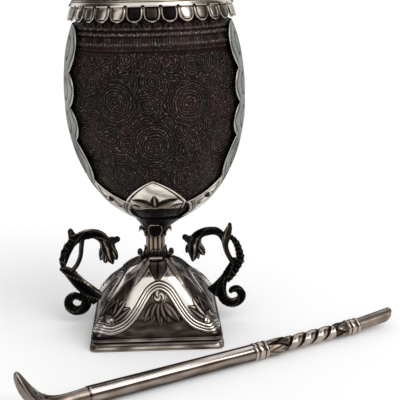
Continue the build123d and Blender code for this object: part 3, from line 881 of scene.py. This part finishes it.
makeStem()
for turn in range(4):
    top, low, r = stem["upper"], stem["lower"], stem["radius"]
    if turn % 2:
        # front and back lie up against the cup, as round plates
        upperLine = [(r + 0.5, top - 2.4), (r + 1.1, top - 0.8), (r + 2.0, top + 1.0),
                     (r + 3.1, top + 2.8), (r + 4.4, top + 4.6), (r + 4.9, top + 5.2)]
    else:
        upperLine = [(r + 0.4, top - 3.4), (r + 0.7, top - 1.6), (r + 1.1, top - 0.4),
                     (r + 1.8, top + 0.6), (r + 2.6, top + 0.4), (r + 3.0, top - 0.7)]
    makeCurl(f"upperLeaf{turn + 1}", upperLine, turn, upperSpread, upperShade,
             [f"upper_leaf_{turn + 1}"])
    lowerLine = [(r + 0.25, low + 3.4), (r + 0.35, low + 1.2), (r + 0.9, low - 0.6),
                 (r + 2.3, low - 1.0), (r + 3.7, low - 0.5),
                 (r + 4.1, low + 0.8), (r + 3.1, low + 1.5), (r + 2.1, low + 1.0), (r + 2.3, low + 0.3)]
    makeCurl(f"lowerLeaf{turn + 1}", lowerLine, turn, lowerSpread, lowerShade,
             [f"lower_leaf_{turn + 1}"])
print("stem and its leaves ready")


# foot: rounded-square sections as (height, half width, corner), and the chased work on each face
foot = {"dome": [(6.4, 31.0, 4.0), (12.0, 28.3, 5.6), (18.0, 24.4, 7.4), (24.0, 19.7, 9.0),
                 (30.0, 14.8, 10.0), (35.4, 8.6, 8.5)],
        "skirt": [(0.0, 31.9, 3.2), (0.25, 32.0, 3.3), (0.9, 31.8, 3.3), (1.8, 30.9, 3.2),
                  (2.9, 30.6, 3.2), (3.7, 30.9, 3.2), (3.85, 30.2, 3.0),
                  (4.3, 31.0, 3.3), (5.1, 31.4, 3.5), (5.9, 31.2, 3.6), (6.25, 30.5, 3.6),
                  (6.5, 30.9, 4.0)],
        "wall": 1.0, "relief": 0.55, "shift": 1.3, "outerShare": 0.93, "innerShare": 0.07,
        "capStart": 0.94, "capShare": 0.06, "capWidth": 5.0, "capRise": 1.1}
# the raised band that waves round the foot: an arch on each face and a dip by each corner
archLine = [(-4.5, 25.1), (0.0, 26.9), (4.5, 25.1), (7.6, 21.6), (10.1, 18.1), (12.9, 14.6),
            (15.9, 12.0), (19.2, 10.5), (22.9, 9.6),
            (26.0, 10.1), (29.0, 10.9)]


def roundedSquare(half, corner, turnShare, shift=0.0):
    # a point on a rounded square, from the front's middle and on to the right, and its place across its face
    straight = 2 * (half - corner)
    side = straight + pi / 2 * corner
    walk = (turnShare % 1.0) * 4 * side + straight / 2
    quarter = int(walk // side)
    rest = walk - quarter * side
    if rest < straight:
        x, y = rest - straight / 2, -half
    else:
        angle = (rest - straight) / corner
        x, y = straight / 2 + corner * sin(angle), -(half - corner) - corner * cos(angle)
    for quarterTurn in range(quarter % 4):
        x, y = -y, x
    across = ((turnShare % 1.0) * 4 * side - shift + side / 2) % side - side / 2
    return x, y, across


def sectionAt(table, z):
    # half width and corner at a height, on a smooth line through the sections
    share = 0.0
    for i, (low, high) in enumerate(zip(table, table[1:])):
        if z <= high[0]:
            share = (i + (z - low[0]) / (high[0] - low[0])) / (len(table) - 1)
            break
    else:
        share = 1.0
    return throughPoints([(half, corner) for z0, half, corner in table], share)


archPath = [throughPoints(archLine, i / 50) for i in range(5, 51)]


def archHeight(x):
    # height of the arch's line over a place on the face
    best = min(archPath, key=lambda p: abs(p[0] - x))
    return best[1]


def footCarving(x, z):
    # x runs across one face from its middle. Returns darkening (tarnish, with a painted dark reflection
    # under the arch and towards the corners) and lift.
    d = distanceToPath(archPath, abs(x), z)
    inBand = smoothStep(2.3, 1.9, d)
    grooves = max(ridge(d - 1.9, 0.27), 0.95 * ridge(d - 0.55, 0.2))
    below = smoothStep(0.0, 1.6, archHeight(abs(x)) - z)
    dark = 0.95 * grooves * (d < 2.6)
    lift = 0.45 * inBand - 0.55 * grooves * (d < 2.6)
    if below > 0 and d > 1.9:
        # under the arch: plain, painted dark as a painted dark reflection and lighter near the bottom as a
        # painted reflection, with a round boss and a fan of leaves
        dark = max(dark, (0.60 - 0.22 * smoothStep(11.5, 7.5, z)
                          + 0.26 * noise.noise(Vector((x * 0.16, z * 0.6, 2.0)))) * below)
        lift -= 0.5 * below
        boss = hypot(x, z - 23.0)
        if boss < 3.4:
            swirl = 0.5 + 0.5 * sin(atan2(z - 23.0, x) * 3 + boss * 2.6)
            dark = 0.85 * ridge(boss - 2.9, 0.3) + 0.55 * swirl * (boss < 2.6) + 0.12
            lift += 0.7 * smoothStep(3.4, 2.4, boss)
        for tip in ((-7.6, 12.6), (-4.2, 11.9), (0.3, 10.7), (4.6, 12.0), (9.6, 12.6)):
            root = (tip[0] * 0.22, 20.2)
            mask, across = leafMask(root, tip, 2.7, x, z)[::2]
            if mask > 0:
                veins = 0.5 + 0.5 * cos(across * 9)
                edge = ridge(abs(across) - 0.92, 0.14)
                dark = dark * (1 - mask) + mask * min(0.42 + 0.3 * veins + 0.6 * edge, 1)
                lift += mask * 0.45 * (1 - across ** 2)
        return dark, lift
    if d < 2.4:
        return dark, lift
    # above the arch: bright ground with leaves; towards the corners a streaked painted dark reflection
    ax = abs(x)
    reach = byHeight([(9, 28.5), (12, 27.1), (18, 23.6), (24, 17.8 + 2.0), (30, 13.6), (35.4, 8.8)], z)
    corner = smoothStep(0.58, 0.84, ax / reach) * smoothStep(13, 18, z)
    dark = max(dark, corner * (0.62 + 0.30 * noise.noise(Vector((x * 1.1, z * 0.10, 5.0)))))
    boss = hypot(ax - 23.8, z - 13.4)
    if boss < 3.2:
        swirl = 0.5 + 0.5 * sin(atan2(z - 13.4, ax - 23.8) * 3 - boss * 2.4)
        dark = max(ridge(boss - 2.65, 0.4), 0.6 * swirl * (boss < 2.3))
        lift += 0.3 * smoothStep(3.1, 2.2, boss)
    for root, tip, width, bend in (((22.0, 13.6), (13.6, 18.8), 2.3, 0.5),
                                   ((22.0, 15.0), (15.9, 21.8), 2.4, 0.35),
                                   ((22.6, 16.0), (19.7, 23.2), 2.2, 0.15),
                                   ((23.8, 16.2), (23.2, 21.0), 1.5, 0.0)):
        mask, across = leafMask(root, tip, width, ax, z, bend)[::2]
        if mask > 0:
            veins = 0.5 + 0.5 * cos(across * 8)
            dark = dark * (1 - mask) + mask * min(0.34 + 0.26 * veins
                                                  + 0.8 * ridge(abs(across) - 0.9, 0.2)
                                                  + 0.5 * ridge(across, 0.12), 1)
            lift += mask * 0.35 * (1 - across ** 2)
    for root, tip, width, bend, tone in (((0.2, 40.0), (-0.8, 28.3), 5.6, 0.0, 0.5),
                                         ((4.6, 36.6), (12.4, 26.6), 3.4, -1.5, 0.2)):
        leafX = x if root[0] < 2 else ax
        mask, across = leafMask(root, tip, width, leafX, z, bend)[::2]
        if mask > 0:
            grain = 0.5 + 0.5 * noise.noise(Vector((x * 1.6, z * 1.6, 4.0)))
            dark = dark * (1 - mask) + mask * min(tone + 0.25 * grain
                                                  + 0.7 * ridge(abs(across) - 0.93, 0.14)
                                                  + 0.3 * ridge(across, 0.1), 1)
            lift += mask * 0.5 * (1 - across ** 2)
    sprig = min(distanceToPath([(17.0, 25.6), (16.2, 23.6)], ax, z),
                distanceToPath([(13.4, 25.4), (15.0, 24.9), (16.2, 23.6)], ax, z))
    dark = max(dark, 0.8 * ridge(sprig, 0.2))
    return dark, lift


def makeFoot():
    bm = newBmesh()

    def dome(u, v):
        # up the outside, over the top, down the inside, and back to the first row
        outer = foot["outerShare"]
        inside = outer < v < 0.9999
        rise = v / outer if v <= outer else (1 - v) / foot["innerShare"]
        if v >= 0.9999:
            rise = 0.0
        cap = max(rise - foot["capStart"], 0.0) / foot["capShare"]
        z = 6.4 + 29.0 * min(rise / foot["capStart"], 1.0) ** 0.92
        half, corner = sectionAt(foot["dome"], z)
        across = roundedSquare(half, corner, u, foot["shift"])[2]
        dark, lift = (0.6, 0.5) if inside else footCarving(across, z)
        half += foot["relief"] * (lift - 0.5) - foot["capWidth"] * cap - (foot["wall"] + 0.2) * inside
        x, y, across = roundedSquare(half, min(corner, half * 0.97), u)
        z += 0.35 * lift * foot["relief"] + foot["capRise"] * sin(cap * pi / 2) - 0.9 * cap * inside
        return (x, y, z), min(max(dark, 0.0), 1.0)

    mappedGrid(bm, 600, 152, dome, wrap=True)
    finishPiece("footDome", bm, finish["chased"], ["foot"])
    bm = newBmesh()

    def skirt(u, v):
        z, half, corner = throughPoints(foot["skirt"], v)
        x, y = roundedSquare(half, corner, u)[:2]
        seam = ridge(z - 3.9, 0.3) + 0.8 * ridge(z - 6.3, 0.28)
        return ((x, y, max(z, 0.12)),
                min(0.42 + 0.6 * seam + 0.2 * noise.noise(Vector((x * 0.12, y * 0.12, z * 0.5))), 1.0))

    mappedGrid(bm, 256, 44, skirt, wrap=True)
    finishPiece("footSkirt", bm, finish["chased"], ["foot"], wall=foot["wall"])


makeFoot()
print("foot chased")


# cast scroll handles. The two differ a little, as castings finished by hand do.
# Points are (x, z) in the middle plane
handles = {
    "left": {"side": -1, "node": "handle_left",
             "stem": [(46.2, 29.6), (43.8, 28.0), (41.0, 25.1), (37.9, 21.5), (34.3, 18.0), (32.0, 15.6),
                      (29.6, 13.2)],
             "stemRadius": [1.8, 2.5, 3.0, 3.2, 3.3, 3.4, 3.9],
             "scroll": [(39.6, 23.4), (37.3, 19.4), (35.4, 15.4), (35.5, 11.0), (37.8, 7.7), (41.3, 6.9),
                        (44.1, 9.2), (44.3, 12.6), (41.8, 14.9),
                        (38.8, 14.2), (38.2, 12.5)],
             "scrollRadius": [1.8, 2.3, 2.7, 2.7, 2.6, 2.5, 2.4, 2.3, 2.1, 1.7, 1.0],
             "arch": [(46.6, 29.8), (45.4, 33.5), (43.9, 38.1), (42.0, 41.6), (39.6, 44.3), (36.6, 46.6),
                      (33.6, 47.6), (30.4, 47.6), (27.0, 46.2),
                      (24.6, 43.6), (23.6, 40.4)],
             "archRadius": [1.1, 1.5, 1.8, 2.0, 2.2, 2.4, 2.5, 2.5, 2.6, 3.0, 3.3],
             "inner": [(45.8, 28.0), (42.3, 28.8), (39.3, 32.0), (37.3, 36.6), (36.6, 41.6),
                       (36.0, 45.2)],
             "innerRadius": [0.9, 1.1, 1.15, 1.15, 1.2, 1.2],
             "rope": [(45.6, 29.6), (46.3, 33.2), (45.5, 37.6), (43.8, 41.4), (41.6, 44.2), (40.7, 46.6),
                      (41.7, 49.2)],
             "ropeRadius": [1.2, 1.7, 1.7, 1.6, 1.6, 2.2, 1.4],
             "ropeRibs": 7, "ball": (19.0, 44.9, 1.6), "smallBall": (46.9, 29.6, 1.15),
             "bud": (41.6, 48.9, 1.7),
             "crest": (31.6, 49.3, 1.25),
             "brow": (21.6, 44.2, 2.2),
             "head": [([(25.4, 45.0), (24.0, 41.8), (23.2, 38.4), (22.6, 35.2), (21.4, 31.8)],
                       [2.6, 3.7, 3.6, 2.6, 0.5], 0.0),
                      ([(24.8, 41.6), (26.0, 38.4), (26.8, 35.6), (27.6, 34.0)], [2.0, 2.2, 1.7, 0.4],
                       1.2),
                      ([(22.6, 41.2), (20.8, 38.4), (19.9, 35.8), (19.4, 34.2)], [2.0, 1.9, 1.4, 0.4],
                       -1.0),
                      ([(24.2, 38.6), (24.8, 35.8), (25.0, 33.8), (25.2, 32.8)], [1.9, 1.7, 1.2, 0.3],
                       -1.4)]},
    "right": {"side": 1, "node": "handle_right",
              "stem": [(40.2, 33.4), (38.9, 30.9), (36.9, 27.2), (34.6, 23.4), (32.2, 20.0),
                       (30.4, 17.2), (28.8, 15.2)],
              "stemRadius": [1.2, 1.6, 1.8, 2.0, 2.3, 2.9, 3.6],
              "scroll": [(36.4, 25.0), (34.3, 21.4), (33.2, 17.2), (34.0, 12.6), (36.3, 9.6),
                         (39.7, 8.9), (42.7, 10.9), (43.4, 14.2), (41.4, 16.6),
                         (38.6, 16.2), (37.8, 14.6)],
              "scrollRadius": [1.7, 2.2, 2.6, 2.6, 2.5, 2.4, 2.3, 2.2, 2.0, 1.6, 0.9],
              "arch": [(39.4, 31.8), (36.6, 34.8), (34.9, 39.6), (34.1, 43.6), (32.2, 46.4),
                       (29.0, 48.0), (25.4, 47.8), (21.9, 46.2), (19.6, 43.4),
                       (19.2, 40.0)],
              "archRadius": [0.9, 1.3, 1.4, 1.6, 1.9, 2.1, 2.2, 2.4, 2.8, 3.0],
              "inner": [(38.9, 30.5), (37.2, 33.6), (35.4, 37.6), (34.8, 41.6), (35.6, 46.4),
                        (37.1, 50.6)],
              "innerRadius": [1.0, 1.1, 1.2, 1.6, 2.2, 1.2],
              "rope": [(36.2, 20.8), (38.6, 24.6), (41.0, 28.6), (42.5, 32.9), (41.8, 37.6),
                       (40.2, 41.8), (37.6, 45.0)],
              "ropeRadius": [0.9, 1.8, 1.9, 2.2, 1.9, 1.7, 1.2],
              "ropeRibs": 11, "ball": (14.8, 45.2, 1.6), "smallBall": (43.9, 31.6, 0.8),
              "bud": (37.0, 51.0, 1.2),
              "crest": (28.6, 49.6, 0.9),
              "brow": (17.0, 44.0, 2.1),
              "head": [([(20.6, 45.2), (19.4, 42.0), (19.3, 38.6), (19.0, 35.4), (18.5, 32.2)],
                        [2.6, 3.6, 3.4, 2.4, 0.5], 0.0),
                       ([(18.8, 41.4), (17.0, 39.8), (16.0, 38.2), (15.4, 36.9)], [1.8, 1.9, 1.4, 0.4],
                        1.0),
                       ([(20.6, 41.6), (22.2, 39.4), (23.4, 37.4), (24.3, 35.6)], [2.0, 2.1, 1.7, 0.4],
                        -1.2),
                       ([(19.8, 38.4), (20.8, 36.2), (21.2, 34.6), (21.4, 33.4)], [1.8, 1.6, 1.1, 0.3],
                        1.4)]},
}


def makeHandle(name):
    cast = handles[name]
    side = cast["side"]
    bm = newBmesh()

    def alongLine(points, lean=0.0):
        return lambda share: (side * throughPoints(points, share)[0], lean * sin(pi * share),
                              throughPoints(points, share)[1])

    def sizes(values):
        return lambda share: max(throughPoints([(value,) for value in values], share)[0], 0.15)

    def leafy(share, angle, leaves, turns):
        # overlapping leaf edges that slant round the branch, with a groove beside each
        wave = (share * leaves + turns * angle / (2 * pi)) % 1
        return wave ** 1.5 * smoothStep(1, 0.9, wave)

    def branch(leaves, turns, depth=0.22):
        grow = (lambda share, angle: 1 - depth * 0.5 + depth * leafy(share, angle, leaves, turns)
                - 0.10 * max(cos(2 * angle + 0.5), 0) ** 4)
        # raised leaf edges are lighter, and two thin lighter lines along opposite sides of each branch are
        # painted highlights
        dark = (lambda share, angle: 0.25 - 1.0 * leafy(share, angle, leaves, turns) ** 4
                - 0.6 * max(cos(2 * angle + 2.4), 0) ** 10)
        return {"shape": grow, "dark": dark}

    sweptTube(bm, alongLine(cast["stem"]), sizes(cast["stemRadius"]), 70, 28, **branch(1.6, 3))
    sweptTube(bm, alongLine(cast["scroll"]), sizes(cast["scrollRadius"]), 96, 26, **branch(2.6, 3))
    sweptTube(bm, alongLine(cast["arch"], 0.9), sizes(cast["archRadius"]), 110, 28, **branch(3, 3))
    # a lighter line along one side of the inner strand is a painted highlight
    sweptTube(bm, alongLine(cast["inner"], -1.1), sizes(cast["innerRadius"]), 44, 18, dark=lambda share,
              angle: -0.35 * max(cos(angle - 2.2), 0) ** 6)
    sweptTube(bm, alongLine(cast["rope"], 0.4), sizes(cast["ropeRadius"]), 150, 22,
              **branch(cast["ropeRibs"], 1, 0.30))
    # leaf head: a ribbed mass that hangs from the arch, its side lobes curling outwards
    for points, widths, lean in cast["head"]:
        sweptTube(bm, alongLine(points, lean), sizes(widths), 40, 30, flat=0.85,
                  shape=lambda share, angle: 1 - 0.16 * (0.5 + 0.5 * cos(angle * 7)) ** 3,
                  dark=lambda share, angle: 0.25 * (0.5 + 0.5 * cos(angle * 7)) ** 3
                  - 0.5 * max(cos(angle * 7 + pi), 0) ** 8)
    for key, stretch in (("ball", (1, 1, 1)), ("smallBall", (1, 1, 1)), ("bud", (0.85, 0.85, 1.25)),
                         ("crest", (1.6, 1.0, 0.6)), ("brow", (1.3, 1.2, 0.9))):
        x, z, radius = cast[key]
        ball(bm, (side * x, 0, z), radius, -0.05, stretch)
    finishPiece(name + "Handle", bm, finish["cast"], [cast["node"]])


makeHandle("left")
makeHandle("right")
print("handles cast")


# straw: distances run along its axis from the strainer's joint to the mouth
straw = {"joint": (-29.0, -75.9, 4.1), "angle": 23.8, "tube": 3.9, "tubeEnd": 3.7, "lower": (79.0, 97.4),
         "twist": (97.4, 125.6), "upper": (125.6, 139.7),
         "lowerRadius": 4.05, "upperRadius": 3.75, "twistRadius": 3.45, "overlap": 0.6, "wall": 0.9}


def strawPoint(along, across, up):
    a = radians(straw["angle"])
    x, y, z = straw["joint"]
    return x + along * cos(a) - across * sin(a), y + along * sin(a) + across * cos(a), z + up


def strawSleeve(name, start, end, surface, columns, rows, replaced):
    # surface(share along, angle) gives the radius and the tarnish
    bm = newBmesh()

    def place(u, v):
        angle = 2 * pi * u
        radius, dark = surface(v, angle)
        along = start + (end - start) * v
        return strawPoint(along, radius * cos(angle), radius * sin(angle)), dark

    mappedGrid(bm, columns, rows, place, wrap=True)
    finishPiece(name, bm, finish["straw"], replaced, wall=straw["wall"])


def ringProfile(at, rings):
    # radius lost and tarnish beside rings given as (middle, half width)
    loss, dark = 0.55, 0.55
    for middle, half in rings:
        d = abs(at - middle) / half
        if d < 1:
            loss, dark = 0.55 * (1 - sqrt(1 - d * d)), 0.05 + 0.6 * d ** 6
    return loss, dark


def leafCrown(share, turn):
    # radius lost and tarnish of pointed leaves that stand on the rings, with dark outlines and veins
    half = 0.48 * (1 - share ** 2.4) + 0.015
    inside = smoothStep(half, half * 0.8, abs(turn))
    rim = ridge(abs(turn) - half, 0.055)
    veins = 0.5 + 0.5 * cos(abs(turn) * 24 - share * 9)
    belly = inside * sin(pi * (0.15 + 0.7 * share))
    return (0.75 - 0.55 * belly + 0.3 * rim,
            min(0.12 + 0.32 * veins * inside + 0.8 * rim + 0.45 * (1 - inside), 1))


def lowerCollar(v, angle):
    start, end = straw["lower"]
    at = v * (end - start)
    if at < 7.6:
        loss, dark = ringProfile(at, [(1.0, 0.95), (3.8, 1.6), (6.6, 0.95)])
        return straw["lowerRadius"] - loss, dark
    share = (at - 7.6) / (end - start - 7.6)
    loss, dark = leafCrown(share, (angle * 3 / (2 * pi)) % 1 - 0.5)
    return straw["lowerRadius"] - 0.1 - loss, dark


def upperCollar(v, angle):
    start, end = straw["upper"]
    at = v * (end - start)
    length = end - start
    if at > length - 7.6:
        loss, dark = ringProfile(at - length + 7.6, [(1.0, 0.95), (3.8, 1.6), (6.6, 0.95)])
        return straw["upperRadius"] - loss, dark
    share = at / (length - 7.6)
    loss, dark = leafCrown(1 - share, (angle * 4 / (2 * pi)) % 1 - 0.5)
    return straw["upperRadius"] - 0.1 - loss, dark


def twistedLeaves(v, angle):
    # slanting leaf lobes that wind round the rod
    start, end = straw["twist"]
    at = v * (end - start)
    wave = (angle / (2 * pi) * 2 + at / 7.4) % 1
    lobe = sin(pi * wave) ** 0.6
    notch = ridge(wave - 0.02, 0.07) + ridge(wave - 0.98, 0.07)
    rib = 0.5 + 0.5 * cos(wave * pi * 6 + 0.4)
    taper = smoothStep(0, 0.04, v) * smoothStep(1, 0.96, v)
    return (straw["twistRadius"] - 0.75 + 0.72 * lobe * taper - 0.12 * rib,
            min(0.05 + 1.1 * notch + 0.35 * rib * (1 - lobe) + 0.35 * smoothStep(0.6, 0.95, wave), 1))


def plainTube(v, angle):
    # light and dark bands along the tube, partly tarnish and partly painted reflection, darkest along the
    # back of the top; and a seam along the front
    end = straw["lower"][0] + straw["overlap"]
    radius = straw["tube"] + (straw["tubeEnd"] - straw["tube"]) * v
    streak = byHeight([(0, 0.2), (40, 0.5), (55, 1.0), (66, 1.1), (90, 1.1), (98, 0.1), (139, 0.0),
                       (144, 0.3), (150, 0.9), (158, 0.5), (168, 0.30), (196, 0.38),
                       (204, 0.6), (218, 0.85), (236, 1.0), (250, 0.5), (300, 0.2),
                       (360, 0.2)], degrees(angle) % 360)
    cloud = 0.16 * noise.noise(Vector((v * 9, cos(angle) * 2, sin(angle) * 2)))
    joint = ridge(v * end - 0.4, 0.4)
    return radius - 0.02 - 0.12 * joint, streak - 0.1 + cloud + 0.6 * joint


def makeStraw():
    strawSleeve("strawLowerCollar", *straw["lower"], lowerCollar, 120, 110, ["straw_lower_collar"])
    strawSleeve("strawUpperCollar", *straw["upper"], upperCollar, 96, 84, ["straw_upper_collar"])
    strawSleeve("strawTwist", *straw["twist"], twistedLeaves, 110, 170, ["straw_twist"])
    strawSleeve("strawTube", 0.0, straw["lower"][0] + straw["overlap"], plainTube, 96, 60, ["straw_tube"])
    for name in ("straw_mouthpiece", "straw_strainer"):
        nodes[name].data.materials.clear()
        nodes[name].data.materials.append(finish["strawCast"])


makeStraw()
print("straw ready")


# pale floor, white surroundings, one soft lamp, and dark cards that only reflections see
stage = {"floorHalf": 30.0, "floorColour": (0.90, 0.90, 0.90), "worldLight": 0.90, "sunPower": 1.2,
         "sunSpread": 46}


def makeFloor():
    bm = bmesh.new()
    bmesh.ops.create_grid(bm, x_segments=2, y_segments=2, size=stage["floorHalf"])
    mesh = bpy.data.meshes.new("floor")
    bm.to_mesh(mesh)
    bm.free()
    plane = bpy.data.objects.new("floor", mesh)
    plane.location = (0, 0, -0.0001)
    bpy.context.scene.collection.objects.link(plane)
    material, tree, shader = startMaterial("paleFloor")
    shader.inputs["Base Color"].default_value = (*stage["floorColour"], 1)
    shader.inputs["Roughness"].default_value = 0.9
    shader.inputs["Specular IOR Level"].default_value = 0.0
    mesh.materials.append(material)


def makeWorld():
    world = bpy.data.worlds.new("studio")
    world.use_nodes = True
    bpy.context.scene.world = world
    tree = world.node_tree
    tree.nodes.clear()
    output = tree.nodes.new("ShaderNodeOutputWorld")
    shown = tree.nodes.new("ShaderNodeBackground")
    lit = tree.nodes.new("ShaderNodeBackground")
    shown.inputs["Color"].default_value = (1, 1, 1, 1)
    lit.inputs["Color"].default_value = (1, 1, 1, 1)
    lit.inputs["Strength"].default_value = stage["worldLight"]
    path = tree.nodes.new("ShaderNodeLightPath")
    seen = mathNode(tree, "MAXIMUM", path.outputs["Is Camera Ray"],
                    mathNode(tree, "MAXIMUM", path.outputs["Is Glossy Ray"],
                             path.outputs["Is Transmission Ray"]))
    mix = tree.nodes.new("ShaderNodeMixShader")
    tree.links.new(seen, mix.inputs["Fac"])
    tree.links.new(lit.outputs["Background"], mix.inputs[1])
    tree.links.new(shown.outputs["Background"], mix.inputs[2])
    tree.links.new(mix.outputs["Shader"], output.inputs["Surface"])


def makeSun(comesFrom):
    lamp = bpy.data.lights.new("sun", "SUN")
    lamp.energy = stage["sunPower"]
    lamp.angle = radians(stage["sunSpread"])
    holder = bpy.data.objects.new("sun", lamp)
    holder.rotation_euler = (-Vector(comesFrom)).to_track_quat("-Z", "Y").to_euler()
    bpy.context.scene.collection.objects.link(holder)


def makeCard(name, place, target, size):
    bm = bmesh.new()
    bmesh.ops.create_grid(bm, x_segments=1, y_segments=1, size=0.5)
    turn = (Vector(target) - Vector(place)).to_track_quat("-Z", "Y").to_matrix().to_4x4()
    bmesh.ops.scale(bm, verts=bm.verts, vec=(size[0], size[1], 1))
    bmesh.ops.transform(bm, verts=bm.verts, matrix=Matrix.Translation(place) @ turn)
    mesh = bpy.data.meshes.new(name)
    bm.to_mesh(mesh)
    bm.free()
    card = bpy.data.objects.new(name, mesh)
    bpy.context.scene.collection.objects.link(card)
    material, tree, shader = startMaterial(name)
    shader.inputs["Base Color"].default_value = (0.01, 0.01, 0.01, 1)
    shader.inputs["Roughness"].default_value = 1.0
    shader.inputs["Specular IOR Level"].default_value = 0.0
    mesh.materials.append(material)
    card.visible_camera = False
    card.visible_diffuse = False
    card.visible_shadow = False


makeFloor()
makeWorld()
makeSun((0.55, -0.42, 0.72))
# place, target and size of each dark card
cards = {"frontCard": ((0, -0.62, 0.27), (0, 0, 0.27), (0.76, 0.54)),
         "leftCard": ((-0.55, 0.02, 0.42), (0, 0, 0.30), (0.60, 0.84)),
         "rightCard": ((0.55, 0.02, 0.42), (0, 0, 0.30), (0.60, 0.84)),
         "lowCard": ((0, 0.115, 0.028), (0, 0, 0.028), (0.5, 0.055)),
         "backCard": ((0, 0.75, 0.16), (0, 0, 0.10), (0.9, 0.34))}
for name, (place, target, size) in cards.items():
    makeCard(name, place, target, size)
print("stage ready")

view = {"place": (0, -0.3436, 0.1674), "down": 16.66, "turn": -3.6906, "lens": 65.889, "sensor": 36}
camera = bpy.data.objects.new("camera", bpy.data.cameras.new("camera"))
camera.location = view["place"]
camera.rotation_euler = (radians(90 - view["down"]), 0, radians(view["turn"]))
camera.data.lens = view["lens"]
camera.data.sensor_width = view["sensor"]
camera.data.clip_start = 0.01
bpy.context.scene.collection.objects.link(camera)
bpy.context.scene.camera = camera

bpy.context.scene.view_settings.view_transform = "Standard"
